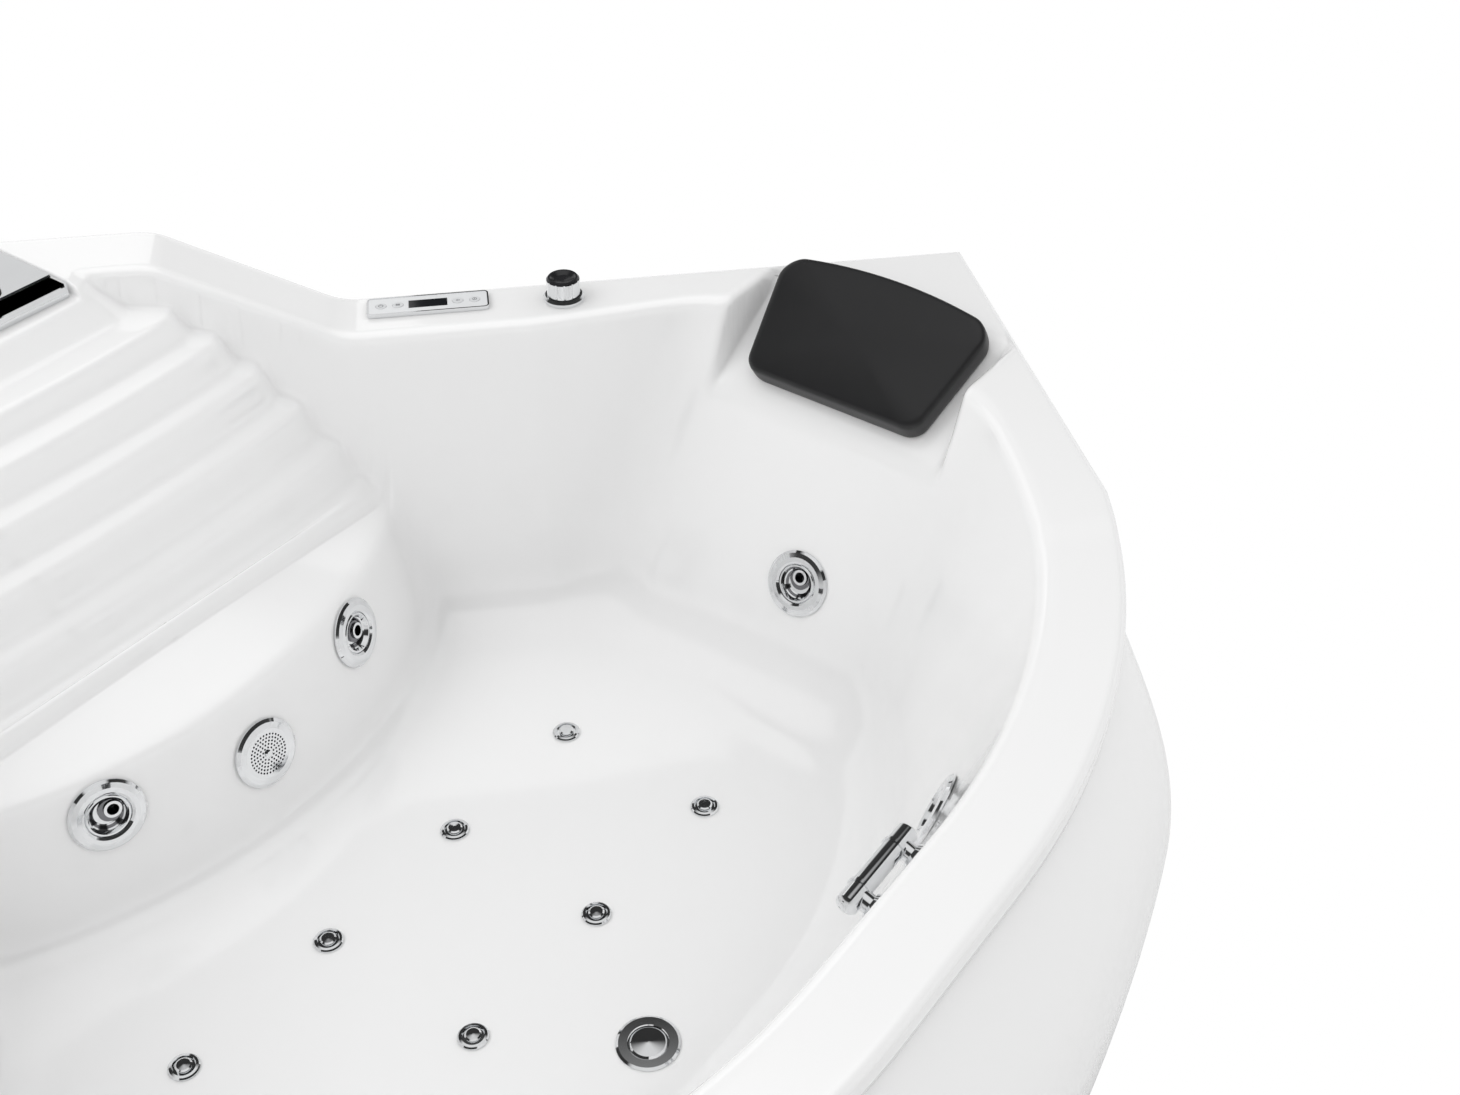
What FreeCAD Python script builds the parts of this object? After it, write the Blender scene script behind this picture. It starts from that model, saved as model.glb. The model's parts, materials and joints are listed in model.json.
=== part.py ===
import FreeCAD, Part
import Sketcher
import math
import os
import re

from FreeCAD import Placement, Rotation, Vector

# Jetted corner bathtub for two people.
# +Z is up and the curved front faces -Y. The room corner behind the tub is at +Y.
# The origin is under the middle of the tub's bounding box, on the floor.
# Plan places are given as (u, a): u is sideways, a is the distance from the room corner
# along the line that halves the corner.

doc = FreeCAD.newDocument("JettedBathtub")

SIZES = (
    # plan of the rim
    ("wall_length", 1478.0),
    ("end_length", 567.0),
    ("end_splay", 22.0),
    ("front_radius", 903.4),
    ("front_centre_side", 96.2),
    ("front_centre_along", 755.2),
    # heights
    ("rim_height", 560.0),
    ("deck_rise", 123.0),
    ("basin_depth", 430.0),
    ("sheet", 6.0),
    ("rim_skirt", 35.0),
    # ramps from the corner deck down to the low rim
    ("ramp_start", 412.0),
    ("ramp_end", 637.0),
    # basin walls
    ("back_rim_width", 102.0),
    ("front_rim_width", 87.4),
    ("lounge_side", 757.0),
    ("back_slope", 8.0),
    ("lounge_slope", 25.0),
    ("front_slope", 20.0),
    ("floor_fillet", 60.0),
    # corner cascade and the wall under it
    ("lip_along", 328.0),
    ("step_radius", 2500.0),
    ("step_nose", 9.0),
    ("foot_wall_radius", 645.0),
    ("foot_wall_along", 716.0),
    ("foot_wall_level", 326.0),
    ("foot_wall_slope", 13.0),
    # pillow and its recess
    ("recess_start", 868.0),
    ("recess_end", 1222.0),
    ("pillow_top_width", 323.0),
    ("pillow_bottom_width", 262.0),
    ("pillow_length", 168.0),
    ("pillow_edge", 34.0),
    ("pillow_crown", 11.0),
    ("pillow_corner", 26.0),
    ("pillow_arch", 18.0),
    ("pillow_top_side", 871.0),
    ("pillow_tilt", 34.5),
    ("soft_gap", 0.3),
    # apron
    ("apron_sheet", 5.0),
    ("apron_floor_gap", 20.0),
    ("apron_top_gap", 12.0),
    ("apron_bulge", 87.0),
    ("apron_tuck", 22.0),
    # large jets and suction
    ("jet_flange_radius", 44.8),
    ("jet_flange_height", 6.5),
    ("jet_hole_radius", 30.0),
    ("jet_neck_radius", 29.6),
    ("jet_neck_bore", 27.0),
    ("jet_neck_length", 22.0),
    ("jet_body_length", 60.0),
    ("jet_body_radius", 34.0),
    ("nozzle_gap", 0.3),
    ("nozzle_depth", 16.0),
    ("nozzle_hole_radius", 7.0),
    ("nozzle_hole_offset", 8.0),
    ("suction_radius", 43.5),
    ("suction_height", 7.0),
    ("suction_hole_radius", 1.3),
    ("suction_ring_step", 4.2),
    # floor air jets
    ("air_jet_radius", 17.5),
    ("air_jet_height", 7.0),
    ("air_jet_stem_radius", 9.0),
    ("air_row_near", 915.0),
    ("air_row_far", 1140.0),
    ("air_jet_pitch", 212.0),
    # drain
    ("drain_along", 1300.0),
    ("drain_ring_radius", 36.0),
    ("drain_bore", 22.0),
    ("drain_neck_radius", 25.0),
    # control panel and knob, places along and off the right-hand wall
    ("panel_along_wall", 747.0),
    ("panel_off_wall", 40.0),
    ("panel_length", 156.0),
    ("panel_width", 40.0),
    ("panel_height", 5.0),
    ("panel_corner", 5.0),
    ("display_length", 50.0),
    ("display_width", 19.0),
    ("button_radius", 7.0),
    ("button_travel", 0.8),
    ("button_gap", 0.3),
    ("button_inner", 39.0),
    ("button_outer", 61.0),
    ("knob_along_wall", 925.0),
    ("knob_off_wall", 48.0),
    ("knob_radius", 22.0),
    ("knob_height", 25.0),
    ("knob_base_radius", 27.0),
    ("knob_base_height", 8.0),
    # spout
    ("spout_width", 276.0),
    ("spout_back_along", 173.0),
    ("spout_front_along", 323.0),
    ("spout_band", 28.0),
    ("spout_pocket_depth", 19.0),
    ("valve_side", 58.0),
    ("valve_along", 262.0),
    ("valve_base_radius", 27.0),
    ("valve_base_height", 22.0),
    ("valve_dome_radius", 21.0),
    ("valve_dome_height", 33.0),
    # grab handle
    ("handle_side", 108.0),
    ("handle_length", 110.0),
    ("handle_radius", 12.0),
    ("handle_post_spread", 76.0),
    ("handle_post_foot", 17.0),
    ("handle_drop", 115.0),
    ("handle_standoff", 24.0),
    # frame and feet
    ("tube_side", 30.0),
    ("tube_wall", 2.0),
    ("rail_level", 82.0),
    ("board_thickness", 12.0),
    ("foot_pad_radius", 25.0),
    ("foot_pad_height", 12.0),
    ("foot_stud_radius", 5.0),
    ("bush_radius", 10.0),
    ("bush_gap", 0.3),
    # machinery
    ("pump_along", 500.0),
    ("pump_level", 214.0),
    ("motor_radius", 62.0),
    ("motor_length", 150.0),
    ("wet_end_radius", 82.0),
    ("wet_end_length", 70.0),
    ("rotor_gap", 1.0),
    ("blower_radius", 78.0),
    ("blower_height", 120.0),
    ("pipe_radius", 20.0),
    ("pipe_wall", 2.5),
    ("air_pipe_radius", 8.0),
)

sheet = doc.addObject("Spreadsheet::Sheet", "Sizes")
for row, (alias, value) in enumerate(SIZES, start=1):
    sheet.set("A%d" % row, alias)
    sheet.set("B%d" % row, str(value))
    sheet.setAlias("B%d" % row, alias)
doc.recompute()

ALIASES = re.compile(r"\b(" + "|".join(alias for alias, value in SIZES) + r")\b")
sums = doc.addObject("Spreadsheet::Sheet", "Sums")


def size(alias):
    """The value of one driving dimension, in millimetres or degrees."""
    return float(getattr(sheet, alias))


def bound(expression):
    """The same expression as other objects have to write it."""
    return ALIASES.sub(r"Sizes.\1", str(expression))


def worth(expression):
    """The present value of an expression of driving dimensions."""
    sums.set("A1", "=" + bound(expression))
    sums.recompute()
    return float(sums.get("A1"))


ROOT2 = math.sqrt(2.0)
UP = Vector(0, 0, 1)
SHEET = size("sheet")
RIM = size("rim_height")
FLOOR = RIM - size("basin_depth")
DECK = RIM + size("deck_rise")
BOARD_TOP = size("rail_level") + size("tube_side") + size("board_thickness")


def slope(alias):
    return math.tan(math.radians(size(alias)))


# Plan points that the rim, the apron and the frame share.

FRONT_CENTRE = (size("front_centre_side"), size("front_centre_along"))


def plan_from_wall(along_wall, off_wall):
    """(u, a) of a place on the right-hand side, measured along and away from that wall."""
    return ((along_wall - off_wall) / ROOT2, (along_wall + off_wall) / ROOT2)


RIM_END = plan_from_wall(size("wall_length"), 0.0)


def on_front(point):
    """The place on the front arc that lies on the same ray from its centre."""
    side, along = FRONT_CENTRE
    stretch = size("front_radius") / math.hypot(point[0] - side, point[1] - along)
    return (side + (point[0] - side) * stretch, along + (point[1] - along) * stretch)


RIM_VERTEX = on_front(plan_from_wall(size("wall_length") + size("end_splay"), size("end_length")))
FRONT_EDGE = FRONT_CENTRE[1] + size("front_radius")
APRON_FRONT = FRONT_EDGE + size("apron_bulge")
TUB_CENTRE = APRON_FRONT / 2.0


def at(u, a, z):
    """A point in the frame of the finished part."""
    return Vector(u, TUB_CENTRE - a, z)


def facing(side, along, up):
    """A unit vector given sideways, away from the corner, and up."""
    direction = Vector(side, -along, up)
    direction.normalize()
    return direction


def standing(point, direction=UP):
    """The placement that puts a piece's own +Z along a direction."""
    return Placement(point, Rotation(UP, direction))


def on_right_wall(along_wall, off_wall, z):
    """The placement of a piece whose own +X runs along the right-hand wall."""
    u, a = plan_from_wall(along_wall, off_wall)
    return Placement(at(u, a, z), Rotation(UP, -45.0))


# Helpers that make document objects.

parts = []


def keep(thing, label):
    thing.Label = label
    parts.append(thing)
    return thing


def in_code(label, shape):
    """A sub-part whose form is worked out from points."""
    feature = doc.addObject("Part::Feature", label)
    feature.Shape = shape
    return keep(feature, label)


def plane_of(body, role):
    for feature in body.Origin.OriginFeatures:
        if feature.Role == role:
            return feature


def flat_sketch(body, name, role):
    sketch = body.newObject("Sketcher::SketchObject", name)
    sketch.AttachmentSupport = [(plane_of(body, role), "")]
    sketch.MapMode = "FlatFace"
    return sketch


def hold(sketch, index, kind, expression, axis, value):
    """Binds one coordinate of a line's first point, or puts it on an axis."""
    if str(expression) == "0":
        sketch.addConstraint(Sketcher.Constraint("PointOnObject", index, 1, axis))
        return
    number = sketch.addConstraint(Sketcher.Constraint(kind, -1, 1, index, 1, value))
    sketch.setExpression("Constraints[%d]" % number, bound(expression))


def outline_sketch(body, name, role, corners):
    """A closed outline of straight lines; each corner is a pair of expressions."""
    sketch = flat_sketch(body, name, role)
    points = [Vector(worth(across), worth(up), 0) for across, up in corners]
    count = len(points)
    for index in range(count):
        sketch.addGeometry(Part.LineSegment(points[index], points[(index + 1) % count]), False)
    for index in range(count):
        sketch.addConstraint(Sketcher.Constraint("Coincident", index, 2, (index + 1) % count, 1))
    for index, (across, up) in enumerate(corners):
        hold(sketch, index, "DistanceX", across, -2, points[index].x)
        hold(sketch, index, "DistanceY", up, -1, points[index].y)
    return sketch


def turned_body(name, corners):
    """A body of revolution about its own Z; corners are (radius, height) expressions."""
    body = doc.addObject("PartDesign::Body", name)
    sketch = outline_sketch(body, name + "_profile", "XZ_Plane", corners)
    turn = body.newObject("PartDesign::Revolution", name + "_turn")
    turn.Profile = sketch
    turn.ReferenceAxis = (sketch, ["V_Axis"])
    turn.Angle = 360.0
    sketch.Visibility = False
    doc.recompute()
    return body


def turned(label, corners, placement):
    body = turned_body(label, corners)
    body.Placement = placement
    return keep(body, label)


def copies(label, pattern, placements):
    """One sub-part of several equal pieces, each a placed copy of a pattern body."""
    shapes = []
    for placement in placements:
        shape = pattern.Shape.copy()
        shape.Placement = placement
        shapes.append(shape)
    return in_code(label, Part.makeCompound(shapes))


def circle_sketch(body, name, across, radius):
    """A circle on the body's own XY plane, its centre on the X axis."""
    sketch = flat_sketch(body, name, "XY_Plane")
    centre = worth(across)
    sketch.addGeometry(Part.Circle(Vector(centre, 0, 0), UP, worth(radius)), False)
    sketch.addConstraint(Sketcher.Constraint("PointOnObject", 0, 3, -1))
    if str(across) == "0":
        sketch.addConstraint(Sketcher.Constraint("PointOnObject", 0, 3, -2))
    else:
        number = sketch.addConstraint(Sketcher.Constraint("DistanceX", -1, 1, 0, 3, centre))
        sketch.setExpression("Constraints[%d]" % number, bound(across))
    number = sketch.addConstraint(Sketcher.Constraint("Radius", 0, worth(radius)))
    sketch.setExpression("Constraints[%d]" % number, bound(radius))
    return sketch


def drill(body, name, across, radius):
    """A hole right through the body, parallel to its Z."""
    sketch = circle_sketch(body, name, across, radius)
    pocket = body.newObject("PartDesign::Pocket", name + "_pocket")
    pocket.Profile = sketch
    pocket.Type = 1
    pocket.Midplane = True
    sketch.Visibility = False
    doc.recompute()
    return pocket


def round_pad(body, name, across, radius, low, high):
    """A round boss between two levels."""
    sketch = circle_sketch(body, name, across, radius)
    sketch.setExpression(".AttachmentOffset.Base.z", bound(low))
    pad = body.newObject("PartDesign::Pad", name + "_pad")
    pad.Profile = sketch
    pad.setExpression("Length", "(%s) - (%s)" % (bound(high), bound(low)))
    sketch.Visibility = False
    doc.recompute()
    return pad


def ring_of(body, pocket, name, count):
    """Repeats a hole evenly round the body's Z."""
    pattern = body.newObject("PartDesign::PolarPattern", name)
    pattern.Originals = [pocket]
    for feature in body.Origin.OriginFeatures:
        if feature.Role == "Z_Axis":
            pattern.Axis = (feature, [""])
    pattern.Angle = 360.0
    pattern.Occurrences = count
    body.Tip = pattern
    doc.recompute()
    return pattern


def padded_box(body, name, across, along, height, start="0"):
    """A rectangle on the body's XY plane, centred on its origin, padded up from a level."""
    half_x = "(%s)/2" % across
    half_y = "(%s)/2" % along
    corners = [("-" + half_x, "-" + half_y), (half_x, "-" + half_y),
               (half_x, half_y), ("-" + half_x, half_y)]
    sketch = outline_sketch(body, name, "XY_Plane", corners)
    if start != "0":
        sketch.setExpression(".AttachmentOffset.Base.z", bound(start))
    pad = body.newObject("PartDesign::Pad", name + "_pad")
    pad.Profile = sketch
    pad.setExpression("Length", bound(height))
    sketch.Visibility = False
    doc.recompute()
    return pad


def upright_edges(shape):
    """Names of the straight edges that run along Z."""
    names = []
    for index, edge in enumerate(shape.Edges, start=1):
        first = edge.Vertexes[0].Point
        last = edge.Vertexes[-1].Point
        if abs(first.x - last.x) < 1e-6 and abs(first.y - last.y) < 1e-6:
            names.append("Edge%d" % index)
    return names


def rounded(body, feature, names, radius):
    fillet = body.newObject("PartDesign::Fillet", feature.Name + "_round")
    fillet.Base = (feature, names)
    fillet.setExpression("Radius", bound(radius))
    doc.recompute()
    return fillet


# Solid helpers for the forms that are worked out from points.

def box_between(low, high):
    return Part.makeBox(high.x - low.x, high.y - low.y, high.z - low.z, low)


def face_of(points):
    return Part.Face(Part.makePolygon(list(points) + [points[0]]))


def rod(point, direction, radius, length):
    return Part.makeCylinder(radius, length, point, direction)


def path_through(points, bend):
    """Straight runs joined by tangent arcs."""
    edges = []
    start = points[0]
    for before, corner, after in zip(points, points[1:], points[2:]):
        back = (before - corner).normalize()
        ahead = (after - corner).normalize()
        turn = math.pi - back.getAngle(ahead)
        cut = bend * math.tan(turn / 2.0)
        enter = corner + back * cut
        leave = corner + ahead * cut
        inward = (back + ahead).normalize()
        centre = corner + inward * math.hypot(bend, cut)
        edges.append(Part.LineSegment(start, enter).toShape())
        edges.append(Part.Arc(enter, centre - inward * bend, leave).toShape())
        start = leave
    edges.append(Part.LineSegment(start, points[-1]).toShape())
    return Part.Wire(edges)


def pipe_along(points, bend, radius, bore=0.0):
    """A round pipe that follows the path, solid or with a bore."""
    path = path_through(points, bend)
    heading = (points[1] - points[0]).normalize()
    outside = swept_round(path, points[0], heading, radius)
    if bore > 0:
        return outside.cut(swept_round(path, points[0], heading, bore))
    return outside


def swept_round(path, start, heading, radius):
    ring = Part.Wire(Part.Circle(start, heading, radius).toShape())
    return path.makePipeShell([ring], True, True)


# Bath shell. The inside of the basin is worked out first; the same basin, grown by the sheet
# thickness, gives the outside.

WALL_TAN = slope("back_slope")
LOUNGE_TAN = slope("lounge_slope")
FRONT_TAN = slope("front_slope")
ROUND = size("floor_fillet")


def wall_levels():
    """Depths below the rim at which the wall outlines are drawn.

    With each comes the extra inset of the rounding at the floor, and the share of the sheet
    thickness by which the outside lies lower.
    """
    depth = size("basin_depth")
    levels = [(0.0, 0.0, 0.0)]
    for degrees in (0.0, 30.0, 55.0, 75.0, 90.0):
        angle = math.radians(degrees)
        inset = ROUND * (1.0 - math.cos(angle)) * 0.75
        levels.append((depth - ROUND * (1.0 - math.sin(angle)), inset, math.sin(angle)))
    return levels


def straight_wall_outline(depth, inset, grow):
    """Plan of the straight walls at one depth: back walls, lounge slopes and ends."""
    back = size("back_rim_width") + depth * WALL_TAN + inset - grow
    narrow = back - 31.0
    lounge = size("lounge_side") - depth * LOUNGE_TAN - inset + grow / math.cos(math.atan(LOUNGE_TAN))
    end = size("wall_length") - 57.0 - depth * WALL_TAN - inset + grow
    far = APRON_FRONT + 80.0
    first = plan_from_wall(880.0, back)
    wide = plan_from_wall(1141.0, narrow)
    lean = (wide[1] - first[1]) / (wide[0] - first[0])
    second = (lounge, first[1] + lean * (lounge - first[0]))
    third = (lounge, end * ROOT2 - lounge)
    fourth = (end * ROOT2 - far, far)
    half = [first, second, third, fourth]
    outline = [(0.0, back * ROOT2)] + half
    return outline + [(-u, a) for u, a in reversed(half)]


def front_wall_edges(depth, inset, grow):
    """Plan of the curved front wall at one depth, closed far behind it."""
    side, along = FRONT_CENTRE
    radius = size("front_radius") - size("front_rim_width") - depth * FRONT_TAN - inset
    radius += grow / math.cos(math.atan(FRONT_TAN))
    swing = math.radians(80.0)
    mid = swing / 2.0
    end = (side + radius * math.sin(swing), along + radius * math.cos(swing))
    middle = (side + radius * math.sin(mid), along + radius * math.cos(mid))
    top = (side, along + radius)
    far = end[0] + 10.0
    return [("line", (-side, top[1]), top), ("arc", top, middle, end), ("line", end, (far, 0.0)),
            ("line", (far, 0.0), (-far, 0.0)), ("line", (-far, 0.0), (-end[0], end[1])),
            ("arc", (-end[0], end[1]), (-middle[0], middle[1]), (-top[0], top[1]))]


def plan_wire(edges, z):
    shapes = []
    for edge in edges:
        points = [at(u, a, z) for u, a in edge[1:]]
        if edge[0] == "arc":
            shapes.append(Part.Arc(*points).toShape())
        else:
            shapes.append(Part.LineSegment(*points).toShape())
    return Part.Wire(shapes)


def polygon_wire(outline, z):
    points = [at(u, a, z) for u, a in outline]
    return Part.makePolygon(points + [points[0]])


def walls(grow):
    """Everything inside the walls, from the basin floor to well over the deck."""
    straight = []
    curved = []
    above = DECK + 60.0
    straight.append(polygon_wire(straight_wall_outline(0.0, 0.0, grow), above))
    curved.append(plan_wire(front_wall_edges(0.0, 0.0, grow), above))
    for depth, inset, share in wall_levels():
        low = RIM - depth - grow * share
        straight.append(polygon_wire(straight_wall_outline(depth, inset, grow), low))
        curved.append(plan_wire(front_wall_edges(depth, inset, grow), low))
    return Part.makeLoft(straight, True, True).common(Part.makeLoft(curved, True, True))


# Feet of the cascade's steps as (distance from the corner, rise over the rim).
CASCADE = ((345.0, 95.0), (408.0, 62.0), (447.0, 20.0), (482.0, -30.0), (518.0, -86.0),
           (553.0, -150.0), (585.0, -213.0))
TREAD_DROP = 236.0
NOSE_DROP = 246.0


def cascade_profile():
    """The stepped front of the corner, in the mid plane, from the lip to the last tread."""
    nose = size("step_nose")
    points = [(size("lip_along"), size("deck_rise") + 90.0), (size("lip_along"), size("deck_rise"))]
    points.append(CASCADE[0])
    for before, after in zip(CASCADE, CASCADE[1:]):
        along = after[0] - before[0]
        down = before[1] - after[1]
        run = math.hypot(along, down)
        middle = (before[0] + 0.42 * along, before[1] - 0.58 * down)
        points.append((middle[0] - nose * down / run, middle[1] - nose * along / run))
        points.append(after)
    points.append((CASCADE[-1][0], -size("basin_depth")))
    return points


def moved_in(profile, grow):
    """The profile moved square to itself, into the mass under it."""
    normals = []
    for before, after in zip(profile, profile[1:]):
        along = after[0] - before[0]
        up = after[1] - before[1]
        run = math.hypot(along, up)
        normals.append((up / run, -along / run))
    moved = []
    for index, (a, rise) in enumerate(profile):
        first = normals[max(index - 1, 0)]
        second = normals[min(index, len(normals) - 1)]
        share = grow / (1.0 + first[0] * second[0] + first[1] * second[1])
        moved.append((a + share * (first[0] + second[0]), rise + share * (first[1] + second[1])))
    return moved


def turned_mass(profile, centre, swing, grow):
    """Turns a profile of (a, rise over the rim) about an upright axis on the mid line."""
    low = -size("basin_depth") - 40.0
    shifted = moved_in(profile, grow)
    inner = centre + 20.0
    outline = shifted + [(shifted[-1][0], low), (inner, low), (inner, shifted[0][1])]
    face = face_of([at(0.0, a, RIM + rise) for a, rise in outline])
    face.rotate(at(0.0, centre, 0.0), UP, -swing)
    return face.revolve(at(0.0, centre, 0.0), UP, 2.0 * swing)


def foot_wall_mass(grow):
    """The convex wall under the last tread, with its leaning face and the tread on top."""
    radius_centre = size("foot_wall_along") - size("foot_wall_radius")
    level = -size("foot_wall_level")
    floor = -size("basin_depth")
    lean = slope("foot_wall_slope")
    foot = size("foot_wall_along") + (level - floor) * lean
    nose = size("foot_wall_along") + (level + NOSE_DROP) * lean
    profile = [(500.0, CASCADE[-1][1] + 19.0), (nose - 14.0, -TREAD_DROP), (nose, -NOSE_DROP)]
    profile.append((size("foot_wall_along"), level))
    profile.append((foot - 8.0, floor + ROUND * 0.6))
    profile.append((foot + 6.0, floor + ROUND * 0.25))
    profile.append((foot + 36.0, floor))
    return turned_mass(profile, radius_centre, 75.0, grow)


def pillow_recess(side, grow):
    """The hollow for one pillow; side is +1 for the right-hand one."""
    tilt = math.radians(size("pillow_tilt"))
    seat = size("pillow_length") - 0.5
    top = size("pillow_top_side") + 0.5
    low = top - seat * math.cos(tilt)
    fall = -2.0 - seat * math.sin(tilt)
    over = 8.0
    profile = ((top + over, 60.0), (top + over, -2.0 + over * math.tan(tilt)), (low, fall),
               (low - 21.5, fall - 12.0), (low - 93.5, fall - 12.0), (low - 93.5, 60.0))
    start = size("recess_start") - grow
    length = size("recess_end") - size("recess_start") + 2.0 * grow
    points = [at(side * (u + 1.1 * grow), start, RIM + rise - 0.5 * grow) for u, rise in profile]
    return face_of(points).extrude(Vector(0, -length, 0))


def basin(grow):
    """The hollow of the basin; grown by the sheet thickness it is the outside of the sheet."""
    hollow = walls(grow)
    hollow = hollow.fuse([pillow_recess(1.0, grow), pillow_recess(-1.0, grow)])
    upper = turned_mass(cascade_profile(), size("lip_along") - size("step_radius"), 35.0, grow)
    hollow = hollow.cut(upper)
    return hollow.cut(foot_wall_mass(grow))


def rim_outline_edges(inset):
    """Plan outline of the rim, drawn inside itself by an inset."""
    side, along = FRONT_CENTRE
    radius = size("front_radius") - inset
    end = (RIM_END[0] - inset * 1.9, RIM_END[1] - inset * 0.35)
    vertex = (RIM_VERTEX[0] - inset * 0.72, RIM_VERTEX[1] - inset * 0.72)
    reach = math.hypot(vertex[0] - side, vertex[1] - along)
    vertex = (side + (vertex[0] - side) * radius / reach, along + (vertex[1] - along) * radius / reach)
    top = (side, along + radius)
    turn = math.atan2(vertex[0] - side, vertex[1] - along) / 2.0
    middle = (side + radius * math.sin(turn), along + radius * math.cos(turn))
    corner = (0.0, inset * ROOT2)
    return [("line", corner, end), ("line", end, vertex), ("arc", vertex, middle, top),
            ("line", top, (-side, top[1])),
            ("arc", (-side, top[1]), (-middle[0], middle[1]), (-vertex[0], vertex[1])),
            ("line", (-vertex[0], vertex[1]), (-end[0], end[1])), ("line", (-end[0], end[1]), corner)]


def under_the_top(lower):
    """All space under the top surface of deck, ramps and rim, lowered by an amount."""
    start = size("ramp_start")
    end = size("ramp_end")
    reach = 1800.0
    profile = ((-60.0, DECK), (start, DECK), (end, RIM), (reach, RIM), (reach, 60.0), (-60.0, 60.0))
    along_x = Vector(1.0, -1.0, 0.0) * (1.0 / ROOT2)
    along_y = Vector(-1.0, -1.0, 0.0) * (1.0 / ROOT2)
    solids = []
    for run, across in ((along_x, along_y), (along_y, along_x)):
        points = [at(0.0, 0.0, z - lower) + run * s - across * 60.0 for s, z in profile]
        solids.append(face_of(points).extrude(across * (reach + 60.0)))
    return solids[0].common(solids[1])


def spout_pocket(grow):
    half = size("spout_width") / 2.0 + 4.0 + grow
    back = size("spout_back_along") - 4.0 - grow
    front = size("lip_along") + 40.0
    low = DECK - size("spout_pocket_depth") - grow
    return box_between(at(-half, front, low), at(half, back, DECK + 50.0))


def under_cover(inset, lower, bottom):
    """The plan of the rim, filled from a level up to the top surface."""
    outline = Part.Face(plan_wire(rim_outline_edges(inset), bottom))
    block = outline.extrude(Vector(0, 0, DECK + 80.0 - bottom))
    return block.common(under_the_top(lower)).cut(spout_pocket(lower))


def wall_place(side, along, rise, direction):
    """The placement of a fitting on a wall; rise is over the rim, the direction points inward."""
    return standing(at(side, along, RIM + rise), direction)


FOOT_LEAN = math.tan(math.radians(size("foot_wall_slope")))
JET_LEVEL = 291.0


def foot_wall_place(side, drop):
    """A place on the convex wall under the cascade, at a drop under the rim."""
    centre = size("foot_wall_along") - size("foot_wall_radius")
    radius = size("foot_wall_radius") + (drop - size("foot_wall_level")) * FOOT_LEAN
    away = math.sqrt(radius * radius - side * side)
    return wall_place(side, centre + away, -drop, facing(side, away, radius * FOOT_LEAN))


def lounge_place(side, along, drop):
    """A place on a lounge slope; side is +1 or -1."""
    u = size("lounge_side") - drop * LOUNGE_TAN
    return wall_place(side * u, along, -drop, facing(-side, 0.0, LOUNGE_TAN))


def front_wall_place(side, drop):
    """A place on the curved front wall."""
    centre_side, centre_along = FRONT_CENTRE
    radius = size("front_radius") - size("front_rim_width") - drop * FRONT_TAN
    off = max(abs(side) - centre_side, 0.0)
    away = math.sqrt(radius * radius - off * off)
    turn = math.copysign(off, side)
    return wall_place(side, centre_along + away, -drop, facing(-turn, -away, radius * FRONT_TAN))


def front_wall_along(side, off_rim):
    """How far from the corner a line lies that runs inside the rim's front edge."""
    centre_side, centre_along = FRONT_CENTRE
    radius = size("front_radius") - off_rim
    return centre_along + math.sqrt(radius ** 2 - (side - centre_side) ** 2)


LOUNGE_DROP = 300.0
LOUNGE_JET_SIDE = size("lounge_side") - LOUNGE_DROP * LOUNGE_TAN
LOUNGE_JET_WALL = size("front_rim_width") + LOUNGE_DROP * FRONT_TAN
LOUNGE_JET_CLEAR = 160.0
LOUNGE_JET_ALONG = front_wall_along(LOUNGE_JET_SIDE, LOUNGE_JET_WALL) - LOUNGE_JET_CLEAR
JETS = [foot_wall_place(-194.0, JET_LEVEL), foot_wall_place(194.0, JET_LEVEL),
        lounge_place(1.0, LOUNGE_JET_ALONG, LOUNGE_DROP), lounge_place(-1.0, LOUNGE_JET_ALONG, LOUNGE_DROP),
        front_wall_place(275.0, 190.0), front_wall_place(-275.0, 190.0)]
SUCTION = foot_wall_place(0.0, size("foot_wall_level"))


def moved_out(placement, distance):
    """The same placement moved along its own direction, into the basin if positive."""
    return Placement(placement.Base + placement.Rotation.multVec(UP) * distance, placement.Rotation)


# A flat flange on a hollow wall stands off by the wall's sag across it, and so does a flat
# body behind a wall that bulges.
FRONT_WALL_RADIUS = size("front_radius") - size("front_rim_width") - 70.0
FRONT_SAG = size("jet_flange_radius") ** 2 / (2.0 * FRONT_WALL_RADIUS)
FOOT_SAG = (size("jet_flange_radius") + 3.0) ** 2 / (2.0 * (size("foot_wall_radius") - 10.0))
JET_FACES = JETS[:4] + [moved_out(place, FRONT_SAG) for place in JETS[4:]]
JET_BACKS = [moved_out(place, -FOOT_SAG) for place in JETS[:2]] + JETS[2:]
SUCTION_BACK = moved_out(SUCTION, -FOOT_SAG)
HANDLE_DROP = size("handle_drop")
GRAB = front_wall_place(size("handle_side"), HANDLE_DROP)
GRAB_POSTS = [GRAB.multiply(Placement(Vector(side * size("handle_post_spread") / 2.0, 0, 0), Rotation()))
              for side in (-1, 1)]
AIR_COLUMNS = (-1.5, -0.5, 0.5, 1.5)
AIR_JETS = []
for row in ("air_row_near", "air_row_far"):
    for column in AIR_COLUMNS:
        AIR_JETS.append(standing(at(column * size("air_jet_pitch"), size(row), FLOOR)))
DRAIN = standing(at(0.0, size("drain_along"), FLOOR))
PANEL = on_right_wall(size("panel_along_wall"), size("panel_off_wall"), RIM)
KNOB = on_right_wall(size("knob_along_wall"), size("knob_off_wall"), RIM)


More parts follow.
